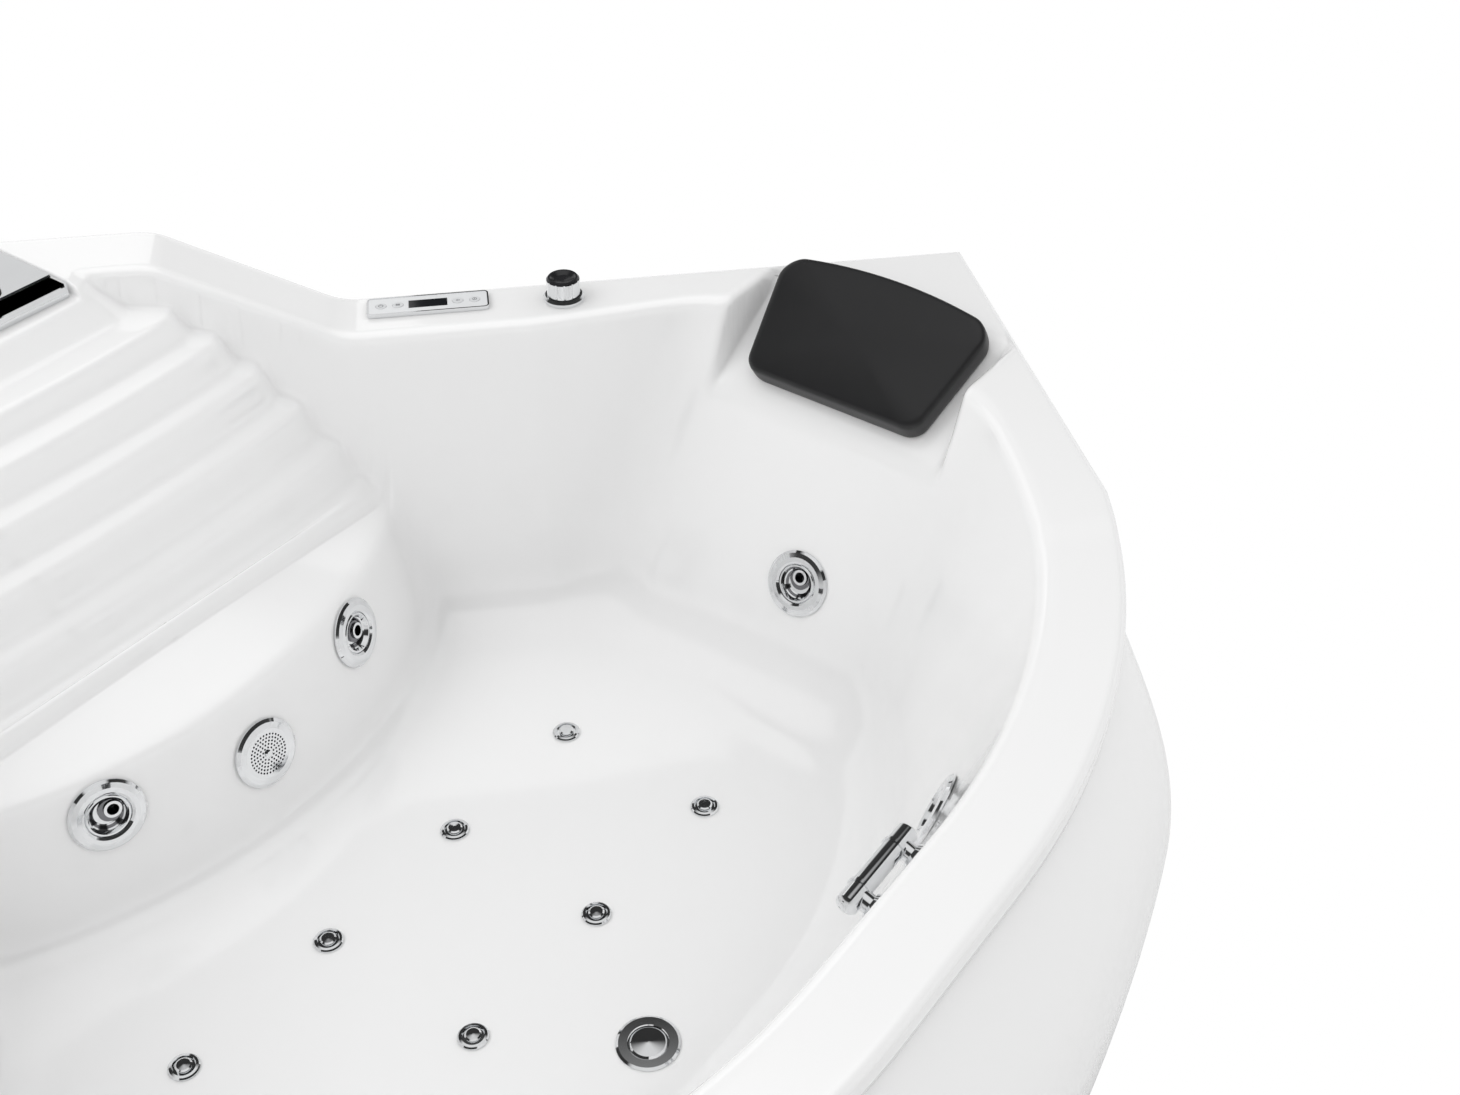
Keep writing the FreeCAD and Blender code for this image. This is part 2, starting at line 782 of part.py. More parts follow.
def through(placement, radius):
    """A drill through the sheet at a fitting."""
    direction = placement.Rotation.multVec(UP)
    return rod(placement.Base - direction * 30.0, direction, radius, 60.0)


def bath_shell_shape():
    inside = basin(0.0)
    outside = basin(SHEET).common(under_cover(0.0, 0.0, 70.0))
    top = under_cover(0.0, 0.0, RIM - size("rim_skirt"))
    cover = top.cut(under_cover(SHEET, SHEET, RIM - size("rim_skirt") - 10.0))
    shell = cover.fuse(outside).cut(inside)
    holes = [through(place, size("jet_hole_radius")) for place in JETS]
    holes.append(through(SUCTION, size("jet_hole_radius")))
    holes += [through(place, size("air_jet_stem_radius") + 0.5) for place in AIR_JETS]
    holes.append(through(DRAIN, size("drain_neck_radius") + 0.5))
    holes.append(through(PANEL, 10.0))
    holes.append(through(KNOB, 10.0))
    holes += [through(place, 5.4) for place in GRAB_POSTS]
    holes.append(through(standing(at(0.0, 230.0, DECK - size("spout_pocket_depth"))), 16.0))
    return shell.cut(holes).removeSplitter()


in_code("bath_shell", bath_shell_shape())


# Apron under the front rim, with end returns along both ends.


def apron_end_point():
    """Where the curved front of the apron meets its end return."""
    inset = size("apron_tuck")
    run = (RIM_VERTEX[0] - RIM_END[0], RIM_VERTEX[1] - RIM_END[1])
    reach = math.hypot(*run)
    return (RIM_VERTEX[0] - inset * run[1] / reach, RIM_VERTEX[1] + inset * run[0] / reach)


def rim_curve():
    """The front of the rim, drawn in by the tuck."""
    side, along = FRONT_CENTRE
    end = apron_end_point()
    radius = math.hypot(end[0] - side, end[1] - along)
    turn = math.atan2(end[0] - side, end[1] - along) / 2.0
    middle = (side + radius * math.sin(turn), along + radius * math.cos(turn))
    return plan_wire([("line", (0.0, along + radius), (side, along + radius)),
                      ("arc", (side, along + radius), middle, end)], 0.0)


def belly_curve():
    """The fullest plan section of the apron: a wide arc with a tighter tangent arc at each end."""
    wide = 1530.0
    tight = 289.0
    end = apron_end_point()
    centre = APRON_FRONT - wide
    reach = math.hypot(end[0], end[1] - centre)
    spread = (reach ** 2 + (wide - tight) ** 2 - tight ** 2) / (2.0 * reach)
    off = math.sqrt((wide - tight) ** 2 - spread ** 2)
    ray = (end[0] / reach, (end[1] - centre) / reach)
    tight_centre = (ray[0] * spread - ray[1] * off, centre + ray[1] * spread + ray[0] * off)
    join_turn = math.atan2(tight_centre[0], tight_centre[1] - centre)
    join = (wide * math.sin(join_turn), centre + wide * math.cos(join_turn))
    half = (wide * math.sin(join_turn / 2.0), centre + wide * math.cos(join_turn / 2.0))
    end_turn = math.atan2(end[0] - tight_centre[0], end[1] - tight_centre[1])
    bend = (join_turn + end_turn) / 2.0
    middle = (tight_centre[0] + tight * math.sin(bend), tight_centre[1] + tight * math.cos(bend))
    return plan_wire([("arc", (0.0, APRON_FRONT), half, join), ("arc", join, middle, end)], 0.0)


FULLEST = 280.0
START = 25.0


def bulge_at(depth):
    """How far the apron has swelled at a depth under the rim, from 0 to 1."""
    if depth <= START:
        return 0.0
    if depth <= FULLEST:
        return math.sin(math.pi / 2.0 * (depth - START) / (FULLEST - START))
    return 1.0 - 0.24 * ((depth - FULLEST) / (RIM - size("apron_floor_gap") - FULLEST)) ** 1.6


CURVE_POINTS = 15
RIM_CURVE = rim_curve().discretize(Number=CURVE_POINTS)
BELLY_CURVE = belly_curve().discretize(Number=CURVE_POINTS)


def apron_half(z, inward):
    """Half the curved front at one level, from the mid line to the end return."""
    share = bulge_at(RIM - z)
    points = [rim * (1.0 - share) + belly * share for rim, belly in zip(RIM_CURVE, BELLY_CURVE)]
    half = [Vector(points[0].x, points[0].y + inward, z)]
    for before, point, after in zip(points, points[1:], points[2:]):
        tangent = (after - before).normalize()
        half.append(Vector(point.x - tangent.y * inward, point.y + tangent.x * inward, z))
    return half + [apron_end(inward, z)]


def apron_end(inward, z):
    """The edge where the curved front meets the end return."""
    u, a = apron_end_point()
    run = (RIM_END[0] - RIM_VERTEX[0], RIM_END[1] - RIM_VERTEX[1])
    reach = math.hypot(*run)
    return at(u + inward * run[1] / reach, a - inward * run[0] / reach, z)


def apron_section(z, thickness):
    """One closed plan section of the curved front."""
    edges = []
    ends = []
    for inward in (0.0, thickness):
        half = apron_half(z, inward)
        curve = Part.BSplineCurve()
        curve.interpolate([Vector(-point.x, point.y, point.z) for point in reversed(half[1:])] + half)
        edges.append(curve.toShape())
        ends.append((Vector(-half[-1].x, half[-1].y, z), half[-1]))
    left = Part.LineSegment(ends[1][0], ends[0][0]).toShape()
    right = Part.LineSegment(ends[0][1], ends[1][1]).toShape()
    return Part.Wire([edges[0], right, edges[1], left])


def end_return(side, top):
    """The flat panel along one end of the tub."""
    low = size("apron_floor_gap")
    thickness = size("apron_sheet")
    corners = [apron_end(0.0, low), apron_back_point(0.0, low), apron_back_point(thickness, low),
               apron_end(thickness, low)]
    face = face_of([Vector(side * point.x, point.y, point.z) for point in corners])
    return face.extrude(Vector(0, 0, top - low))


def apron_back_point(inward, z):
    """The wall end of the right-hand return."""
    inset = size("apron_tuck") + inward
    run = (RIM_END[0] - RIM_VERTEX[0], RIM_END[1] - RIM_VERTEX[1])
    reach = math.hypot(*run)
    short = 12.0
    u = RIM_END[0] + inset * run[1] / reach - short * run[0] / reach
    a = RIM_END[1] - inset * run[0] / reach - short * run[1] / reach
    return at(u, a, z)


def apron_shape():
    top = RIM - size("apron_top_gap")
    low = size("apron_floor_gap")
    levels = [low + (top - low) * step / 9.0 for step in range(10)]
    front = Part.makeLoft([apron_section(z, size("apron_sheet")) for z in levels], True, False)
    end_top = RIM - size("rim_skirt") - 1.0
    return front.fuse([end_return(-1.0, end_top), end_return(1.0, end_top)])


in_code("front_apron", apron_shape())

# Support frame of square tube, with the boards that carry floor and machinery.

TUBE = size("tube_side")
WALL = size("tube_wall")
RAIL_SIDE = 230.0
SIDE_POST = 915.0
FRONT_POST_ALONG = FRONT_EDGE - 58.6
FOOT_RAIL_ALONG = FRONT_POST_ALONG - 35.0
CROSS_ALONG = 1060.0


def tube_x(u_from, u_to, a, low):
    """A square tube that runs sideways, given by its ends, its middle line and its underside."""
    outer = Part.makeBox(u_to - u_from, TUBE, TUBE, at(u_from, a + TUBE / 2.0, low))
    inner = Part.makeBox(u_to - u_from, TUBE - 2 * WALL, TUBE - 2 * WALL,
                         at(u_from, a + TUBE / 2.0 - WALL, low + WALL))
    return outer.cut(inner)


def tube_y(u, a_from, a_to, low):
    """A square tube that runs out from the corner."""
    outer = Part.makeBox(TUBE, a_to - a_from, TUBE, at(u - TUBE / 2.0, a_to, low))
    inner = Part.makeBox(TUBE - 2 * WALL, a_to - a_from, TUBE - 2 * WALL,
                         at(u - TUBE / 2.0 + WALL, a_to, low + WALL))
    return outer.cut(inner)


def tube_z(u, a, low, top):
    """An upright square tube."""
    outer = Part.makeBox(TUBE, TUBE, top - low, at(u - TUBE / 2.0, a + TUBE / 2.0, low))
    inner = Part.makeBox(TUBE - 2 * WALL, TUBE - 2 * WALL, top - low,
                         at(u - TUBE / 2.0 + WALL, a + TUBE / 2.0 - WALL, low))
    return outer.cut(inner)


RAIL = size("rail_level")
RAIL_TOP = RAIL + TUBE
BEARER = RIM - SHEET - TUBE
INNER_END = RAIL_SIDE - TUBE / 2.0
OUTER_START = RAIL_SIDE + TUBE / 2.0

rails = [tube_y(side * RAIL_SIDE, 290.0, FRONT_POST_ALONG + TUBE / 2.0, RAIL) for side in (-1, 1)]
for along in (500.0, 790.0, CROSS_ALONG, 1420.0, FOOT_RAIL_ALONG):
    rails.append(tube_x(-INNER_END, INNER_END, along, RAIL))
rails.append(tube_x(OUTER_START, SIDE_POST + TUBE / 2.0, CROSS_ALONG, RAIL))
rails.append(tube_x(-SIDE_POST - TUBE / 2.0, -OUTER_START, CROSS_ALONG, RAIL))
in_code("frame_base_rails", Part.makeCompound(rails))

posts = []
bearers = []
for side in (-1, 1):
    posts.append(tube_z(side * RAIL_SIDE, FRONT_POST_ALONG, RAIL_TOP, BEARER))
    posts.append(tube_z(side * SIDE_POST, CROSS_ALONG, RAIL_TOP, BEARER))
    bearers.append(tube_y(side * SIDE_POST, 960.0, 1108.0, BEARER))
bearers.append(tube_x(-248.0, 248.0, FRONT_POST_ALONG, BEARER))
in_code("frame_uprights", Part.makeCompound(posts))
in_code("rim_bearers", Part.makeCompound(bearers))


def board(outline, holes):
    """A flat board on the rails, with its holes."""
    face = Part.Face(polygon_wire(outline, RAIL_TOP))
    solid = face.extrude(Vector(0, 0, size("board_thickness")))
    if holes:
        solid = solid.cut(holes)
    return solid


def mirror_outline(half):
    return half + [(-u, a) for u, a in reversed(half)]


AIR_BODY = 13.0
floor_holes = [rod(Vector(place.Base.x, place.Base.y, RAIL_TOP - 5.0), UP, AIR_BODY + 4.0, 40.0)
               for place in AIR_JETS]
floor_holes.append(rod(Vector(DRAIN.Base.x, DRAIN.Base.y, RAIL_TOP - 5.0), UP, 44.0, 40.0))
FLOOR_HALF = [(330.0, 775.0), (490.0, 860.0), (490.0, 1180.0), (330.0, 1360.0), (150.0, 1435.0)]
MACHINE_HALF = [(262.0, 330.0), (290.0, 360.0), (290.0, 600.0)]
floor_board = board(mirror_outline(FLOOR_HALF), floor_holes)
machine_board = board(mirror_outline(MACHINE_HALF), [])
in_code("base_boards", Part.makeCompound([floor_board, machine_board]))

# Levelling feet: pad and stud, screwed in blocks welded beside the rails.

STUD = size("foot_stud_radius")
FOOT_OFF = TUBE / 2.0 + size("bush_radius")
FEET = ((-RAIL_SIDE - FOOT_OFF, 345.0), (RAIL_SIDE + FOOT_OFF, 345.0),
        (-SIDE_POST + 10.0, CROSS_ALONG + FOOT_OFF), (SIDE_POST - 10.0, CROSS_ALONG + FOOT_OFF),
        (0.0, FOOT_RAIL_ALONG - FOOT_OFF))
FOOT_CORNERS = (("0", "0"), ("foot_pad_radius - 2", "0"), ("foot_pad_radius", "2"),
                ("foot_pad_radius", "foot_pad_height - 5"), ("foot_stud_radius + 5", "foot_pad_height"),
                ("foot_stud_radius", "foot_pad_height"), ("foot_stud_radius", "rail_level + 28"),
                ("0", "rail_level + 28"))
for number, (side, along) in enumerate(FEET, start=1):
    turned("foot_%d" % number, FOOT_CORNERS, Placement(at(side, along, 0.0), Rotation()))

bushes = []
for side, along in FEET:
    half = size("bush_radius")
    block = Part.makeBox(2 * half, 2 * half, TUBE + 10.0, at(side - half, along + half, RAIL - 10.0))
    bushes.append(block.cut(rod(at(side, along, 0.0), UP, STUD + size("bush_gap"), 300.0)))
in_code("foot_bushes", Part.makeCompound(bushes))

# Pillows: a moulded cushion with a flat back, straight edges and a crowned face.

PILLOW_TILT = size("pillow_tilt")


def pillow_outline(inset, height):
    """A rounded trapezium with an arched top edge, at one height over the back."""
    top = size("pillow_top_width") / 2.0 - inset
    bottom = size("pillow_bottom_width") / 2.0 - inset
    half = size("pillow_length") / 2.0 - inset
    corner = size("pillow_corner")
    points = [Vector(-bottom, -half, height), Vector(bottom, -half, height),
              Vector(top, half, height), Vector(-top, half, height)]
    edges = []
    for index, point in enumerate(points):
        before = points[index - 1]
        after = points[(index + 1) % 4]
        back = (before - point).normalize()
        ahead = (after - point).normalize()
        turn = math.pi - back.getAngle(ahead)
        cut = corner * math.tan(turn / 2.0)
        centre = point + (back + ahead).normalize() * math.hypot(corner, cut)
        middle = centre - (back + ahead).normalize() * corner
        edges.append((point + back * cut, middle, point + ahead * cut))
    shapes = []
    for index, (enter, middle, leave) in enumerate(edges):
        shapes.append(Part.Arc(enter, middle, leave).toShape())
        following = edges[(index + 1) % 4][0]
        if index == 2:
            crest = (leave + following) * 0.5 + Vector(0, size("pillow_arch"), 0)
            shapes.append(Part.Arc(leave, crest, following).toShape())
        else:
            shapes.append(Part.LineSegment(leave, following).toShape())
    return Part.Wire(shapes)


def pillow_shape():
    edge = size("pillow_edge")
    crown = size("pillow_crown")
    stages = ((5.0, 0.0), (1.0, 5.0), (0.0, edge - 6.0), (1.5, edge), (6.0, edge + 0.35 * crown),
              (16.0, edge + 0.68 * crown), (32.0, edge + 0.9 * crown), (50.0, edge + crown))
    wires = [pillow_outline(inset, height) for inset, height in stages]
    return Part.makeLoft(wires, True, True)


def pillow(label, side):
    """Lays a pillow in its recess with its arched edge uppermost."""
    shape = pillow_shape()
    tilt = math.radians(PILLOW_TILT)
    length = size("pillow_length")
    run = math.cos(tilt)
    rise = math.sin(tilt)
    middle = size("pillow_top_side") - (length / 2.0 + 1.0) * run
    level = RIM - 2.0 - (length / 2.0 + 1.0) * rise
    along = (size("recess_start") + size("recess_end")) / 2.0
    normal = Vector(-side * rise, 0.0, run)
    climb = Vector(side * run, 0.0, rise)
    across = climb.cross(normal)
    base = at(side * middle, along, level) + normal * size("soft_gap")
    shape.Placement = Placement(base, Rotation(across, climb, normal, "ZXY"))
    in_code(label, shape)


pillow("pillow_right", 1.0)
pillow("pillow_left", -1.0)

# Large jets: a flange with its neck through the sheet, a turning nozzle in the neck, and the
# body screwed on from behind.

JET_FLANGE = turned_body("JetFlange", (
    ("jet_neck_bore", "-jet_neck_length"), ("jet_neck_radius", "-jet_neck_length"),
    ("jet_neck_radius", "0.3"), ("jet_flange_radius", "0.3"),
    ("jet_flange_radius", "jet_flange_height - 4"),
    ("jet_flange_radius - 3", "jet_flange_height - 1.2"),
    ("jet_flange_radius - 9", "jet_flange_height"), ("jet_neck_bore + 3", "jet_flange_height"),
    ("jet_neck_bore", "jet_flange_height - 2")))
copies("jet_flanges", JET_FLANGE, JET_FACES)

JET_BODY = turned_body("JetBody", (
    ("0", "-jet_body_length - sheet"), ("jet_body_radius - 10", "-jet_body_length - sheet"),
    ("jet_body_radius", "-jet_body_length - sheet + 12"), ("jet_body_radius", "-sheet - 8"),
    ("jet_neck_radius + 9", "-sheet - 8"), ("jet_neck_radius + 9", "-sheet - 0.3"),
    ("jet_neck_radius + 0.3", "-sheet - 0.3"), ("jet_neck_radius + 0.3", "-jet_neck_length - 2"),
    ("jet_neck_bore - 7", "-jet_neck_length - 2"), ("jet_neck_bore - 7", "-jet_body_length + 4"),
    ("0", "-jet_body_length + 4")))
copies("jet_bodies", JET_BODY, JET_BACKS)

# Rounds that stand in the nozzle's dish and wind round its outlet: place across, radius, top.
NOZZLE_STEPS = (("nozzle_hole_offset/4", "nozzle_hole_radius + 11.2", "-5.4"),
                ("nozzle_hole_offset*5/8", "nozzle_hole_radius + 7", "-3"),
                ("nozzle_hole_offset", "nozzle_hole_radius + 3.4", "-0.6"))
for number, place in enumerate(JET_FACES, start=1):
    name = "jet_nozzle_%d" % number
    body = turned_body(name, (
        ("0", "-nozzle_depth"), ("jet_neck_bore - nozzle_gap - 3", "-nozzle_depth"),
        ("jet_neck_bore - nozzle_gap", "-nozzle_depth + 3"), ("jet_neck_bore - nozzle_gap", "3.4"),
        ("jet_neck_bore - nozzle_gap - 1.6", "5"), ("jet_neck_bore - nozzle_gap - 3.4", "5"),
        ("jet_neck_bore - nozzle_gap - 6", "0"), ("13", "-7"), ("0", "-9")))
    for step, (across, radius, top) in enumerate(NOZZLE_STEPS, start=1):
        round_pad(body, "%s_step_%d" % (name, step), across, radius, "-10", top)
    drill(body, name + "_outlet", "nozzle_hole_offset", "nozzle_hole_radius")
    body.Placement = place
    keep(body, name)

# Suction: a grille with rings of small holes, its screw, and the body behind it.

cover = turned_body("suction_cover", (
    ("suction_hole_radius + 1.5", "suction_height - 2.6"), ("29", "suction_height - 3.4"),
    ("29", "-12"), ("jet_neck_radius", "-12"), ("jet_neck_radius", "0.3"), ("suction_radius", "0.3"),
    ("suction_radius", "suction_height - 3.5"), ("suction_radius - 4", "suction_height - 0.8"),
    ("suction_radius - 12", "suction_height"), ("suction_hole_radius + 1.5", "suction_height")))
for ring in range(5):
    distance = "8 + %d * suction_ring_step" % ring
    hole = drill(cover, "ring_%d" % (ring + 1), distance, "suction_hole_radius")
    ring_of(cover, hole, "ring_%d_pattern" % (ring + 1), 10 + 6 * ring)
cover.Placement = SUCTION
keep(cover, "suction_cover")

turned("suction_screw", (
    ("0", "-10"), ("suction_hole_radius + 1.2", "-10"),
    ("suction_hole_radius + 1.2", "suction_height + 0.3"),
    ("5", "suction_height + 0.3"), ("5", "suction_height + 1.6"), ("3.6", "suction_height + 2.6"),
    ("0", "suction_height + 2.6")), SUCTION)

turned("suction_body", (
    ("0", "-sheet - 58"), ("24", "-sheet - 58"), ("38", "-sheet - 42"), ("38", "-sheet - 10"),
    ("suction_radius + 3", "-sheet - 10"), ("suction_radius + 3", "-sheet - 0.3"),
    ("jet_neck_radius + 0.3", "-sheet - 0.3"), ("jet_neck_radius + 0.3", "-14"), ("20", "-14"),
    ("20", "-36"), ("5", "-36"), ("5", "-10.3"), ("0", "-10.3")), SUCTION_BACK)

# Floor air jets and the manifold under the floor.

AIR_JET = turned_body("AirJet", (
    ("0", "-sheet - 10"), ("air_jet_stem_radius", "-sheet - 10"), ("air_jet_stem_radius", "0.3"),
    ("air_jet_radius", "0.3"), ("air_jet_radius", "air_jet_height - 4.6"),
    ("air_jet_radius - 1.6", "air_jet_height - 3.2"), ("air_jet_radius - 4.5", "air_jet_height - 2.8"),
    ("air_jet_radius - 5.5", "1.4"), ("air_jet_radius - 8", "1.4"),
    ("air_jet_radius - 8", "air_jet_height - 1.6"), ("air_jet_radius - 10", "air_jet_height - 0.4"),
    ("0", "air_jet_height")))
copies("air_jets", AIR_JET, AIR_JETS)

AIR_PIPE = size("air_pipe_radius")
AIR_LEVEL = RAIL - AIR_PIPE - 6.0
AIR_FEED = -170.0


def air_socket(place):
    """A socket under the sheet that takes one air jet's stem, down to the row pipe."""
    top = FLOOR - SHEET - 0.3
    socket = rod(Vector(place.Base.x, place.Base.y, AIR_LEVEL), UP, AIR_BODY, top - AIR_LEVEL)
    bore = size("air_jet_stem_radius") + 0.3
    hollow = rod(Vector(place.Base.x, place.Base.y, top - 14.0), UP, bore, 20.0)
    return socket, hollow


sockets = [air_socket(place) for place in AIR_JETS]
reach = 1.5 * size("air_jet_pitch")
rows = [rod(at(-reach, size(row), AIR_LEVEL), Vector(1, 0, 0), AIR_PIPE, 2.0 * reach)
        for row in ("air_row_near", "air_row_far")]
BLOWER_SIDE = -190.0
BLOWER_ALONG = 415.0
BLOWER_SPIGOT = BOARD_TOP + 36.0
feed_start = at(AIR_FEED, BLOWER_ALONG + size("blower_radius") + 14.3, BLOWER_SPIGOT)
feed = pipe_along([feed_start, at(AIR_FEED, 650.0, BLOWER_SPIGOT), at(AIR_FEED, 650.0, AIR_LEVEL),
                   at(AIR_FEED, size("air_row_far"), AIR_LEVEL)], 25.0, AIR_PIPE)
manifold = sockets[0][0].fuse([solid for solid, hollow in sockets[1:]] + rows + [feed])
in_code("air_manifold", manifold.cut([hollow for solid, hollow in sockets]).removeSplitter())

# Drain: ring, pop-up plug and tail.

turned("drain_flange", (
    ("18", "-20"), ("drain_neck_radius", "-20"), ("drain_neck_radius", "0.3"), ("drain_ring_radius", "0.3"),
    ("drain_ring_radius", "1.6"), ("drain_ring_radius - 3", "3.2"), ("drain_bore + 1", "3.2"),
    ("drain_bore", "2.2"), ("drain_bore", "-5"), ("18", "-5")), DRAIN)
turned("drain_plug", (
    ("0", "-34"), ("4", "-34"), ("4", "-8"), ("14", "-4.7"), ("drain_bore - 0.6", "-4.7"),
    ("drain_bore - 0.6", "1.5"), ("drain_bore - 3", "3.4"), ("0", "4.4")), DRAIN)
turned("drain_tail", (
    ("17", "45 - rim_height + basin_depth"), ("20", "45 - rim_height + basin_depth"), ("20", "-46"),
    ("31", "-38"), ("31", "-sheet - 8"), ("38", "-sheet - 8"), ("38", "-sheet - 0.3"),
    ("drain_neck_radius + 0.3", "-sheet - 0.3"), ("drain_neck_radius + 0.3", "-24"),
    ("4.3", "-24"), ("4.3", "-40"), ("10", "-40"), ("17", "-50")), DRAIN)

# Grab handle on the inside of the front wall. A post's foot stands off by the wall's sag.

GRAB_REACH = size("handle_post_spread") / 2.0 + size("handle_post_foot")
GRAB_WALL = size("front_radius") - size("front_rim_width") - HANDLE_DROP * FRONT_TAN
POST_SAG = GRAB_REACH ** 2 / (2.0 * GRAB_WALL) + 0.3


def grab_handle_shape():
    """Bar with capped ends on two posts; built flat, its Z standing off the wall."""
    length = size("handle_length")
    radius = size("handle_radius")
    off = size("handle_standoff")
    bar = rod(Vector(-length / 2.0, 0, off), Vector(1, 0, 0), radius, length)
    pieces = []
    for side in (-1, 1):
        end = Vector(side * length / 2.0, 0, off)
        pieces.append(rod(end - Vector(side * 26.0, 0, 0), Vector(side, 0, 0), radius + 1.5, 4.0))
        dome = Part.makeSphere(radius * 1.25, end - Vector(side * radius * 0.75, 0, 0))
        outer = end.x if side > 0 else end.x - radius
        half = Part.makeBox(radius, 4 * radius, 4 * radius, Vector(outer, -2 * radius, off - 2 * radius))
        pieces.append(dome.common(half))
        foot = side * size("handle_post_spread") / 2.0
        pieces.append(rod(Vector(foot, 0, 4.0), UP, radius - 1.5, off - 4.0))
        wide = size("handle_post_foot")
        pieces.append(Part.makeCone(wide, wide - 4.0, 5.0, Vector(foot, 0, POST_SAG)))
        pieces.append(rod(Vector(foot, 0, -16.0), UP, 5.0, POST_SAG + 18.0))
    return bar.fuse(pieces)


handle = grab_handle_shape()
handle.Placement = GRAB
in_code("grab_handle", handle)

nuts = []
for place in GRAB_POSTS:
    nut = rod(Vector(0, 0, -SHEET - 6.3), UP, 12.0, 6.0).cut(rod(Vector(0, 0, -30.0), UP, 5.3, 60.0))
    nut.Placement = place
    nuts.append(nut)
in_code("grab_handle_nuts", Part.makeCompound(nuts))

# Control panel on the right-hand rim.

BUTTON_SIDES = ("-button_outer", "-button_inner", "button_inner", "button_outer")
plate = doc.addObject("PartDesign::Body", "panel_plate")
plate_pad = padded_box(plate, "panel_outline", "panel_length", "panel_width", "panel_height", "0.3")
rounded(plate, plate_pad, upright_edges(plate_pad.Shape), "panel_corner")
for number, across in enumerate(BUTTON_SIDES, start=1):
    drill(plate, "button_hole_%d" % number, across, "button_radius + button_gap")
window = outline_sketch(plate, "window_outline", "XY_Plane", (
    ("-display_length/2 - 0.3", "-display_width/2 - 0.3"),
    ("display_length/2 + 0.3", "-display_width/2 - 0.3"),
    ("display_length/2 + 0.3", "display_width/2 + 0.3"),
    ("-display_length/2 - 0.3", "display_width/2 + 0.3")))
window_pocket = plate.newObject("PartDesign::Pocket", "window_pocket")
window_pocket.Profile = window
window_pocket.Type = 1
window_pocket.Midplane = True
window.Visibility = False
doc.recompute()
plate.Placement = PANEL
keep(plate, "panel_plate")

display = doc.addObject("PartDesign::Body", "display_window")
padded_box(display, "display_outline", "display_length", "display_width", "panel_height - 0.2", "0.3")
display.Placement = PANEL
keep(display, "display_window")

for number, across in enumerate(BUTTON_SIDES, start=1):
    offset = Placement(Vector(worth(across), 0, 0), Rotation())
    turned("button_%d" % number, (
        ("0", "0.3 + button_travel + 0.2"), ("button_radius", "0.3 + button_travel + 0.2"),
        ("button_radius", "panel_height + 0.5"), ("button_radius - 0.6", "panel_height + 0.9"),
        ("0", "panel_height + 0.9")), PANEL.multiply(offset))

pod = doc.addObject("PartDesign::Body", "panel_pod")
padded_box(pod, "pod_outline", "panel_length - 40", "panel_width - 12", "22", "-22 - sheet - 0.3")
pod.Placement = PANEL
keep(pod, "panel_pod")

# Air control knob with its base ring, and the valve under the rim.

turned("knob_base", (
    ("5.3", "0.3"), ("knob_base_radius", "0.3"), ("knob_base_radius", "knob_base_height - 3"),
    ("knob_base_radius - 2.5", "knob_base_height"), ("5.3", "knob_base_height")), KNOB)

knob = turned_body("air_control_knob", (
    ("0", "-4"), ("5", "-4"), ("5", "knob_base_height + 0.3"), ("knob_radius", "knob_base_height + 0.3"),
    ("knob_radius", "knob_base_height + knob_height - 3"),
    ("knob_radius - 2.5", "knob_base_height + knob_height"),
    ("knob_radius - 5", "knob_base_height + knob_height"), ("12", "knob_base_height + knob_height - 4"),
    ("0", "knob_base_height + knob_height - 6")))
groove = drill(knob, "grip", "knob_radius + 1.4", "2")
ring_of(knob, groove, "grip_pattern", 12)
knob.Placement = KNOB
keep(knob, "air_control_knob")

turned("air_valve_body", (
    ("0", "-sheet - 46"), ("14", "-sheet - 46"), ("20", "-sheet - 38"), ("20", "-sheet - 6"),
    ("24", "-sheet - 6"), ("24", "-sheet - 0.3"), ("8", "-sheet - 0.3"), ("8", "-sheet - 10"),
    ("0", "-sheet - 10")), KNOB)

# Waterfall spout in its pocket, with a valve on each side.

POCKET = DECK - size("spout_pocket_depth")
HALF = size("spout_width") / 2.0
BACK = size("spout_back_along")
FRONT = size("spout_front_along")
BAND = size("spout_band")


def slab(u_from, u_to, a_from, a_to, low, high):
    return box_between(at(u_from, a_to, low), at(u_to, a_from, high))


def spout_shape():
    """Tray with side walls, a raised lip in front, and a cover that stops short of the lip."""
    low = POCKET + 0.3
    top = DECK + 2.5
    pieces = [slab(-HALF, HALF, BACK, FRONT, low, low + 3.0),
              slab(-HALF, -HALF + 3.0, BACK, FRONT, low, top - 2.0),
              slab(HALF - 3.0, HALF, BACK, FRONT, low, top - 2.0),
              slab(-HALF, HALF, BACK, BACK + 3.0, low, top),
              slab(-HALF, HALF, BACK, FRONT - BAND - 2.0, top - 3.0, top),
              slab(-HALF, HALF, FRONT - 3.0, FRONT, low, DECK - 4.0)]
    solid = pieces[0].fuse(pieces[1:]).removeSplitter()
    return solid.cut(rod(at(0.0, 230.0, low - 5.0), UP, 12.0, 12.0))


in_code("spout_plate", spout_shape())
turned("spout_inlet", (
    ("10", "-46"), ("13", "-46"), ("13", "-14"), ("15.7", "-14"), ("15.7", "-sheet - 6"),
    ("22", "-sheet - 6"), ("22", "-sheet - 0.3"), ("10", "-sheet - 0.3")), standing(at(0.0, 230.0, POCKET)))

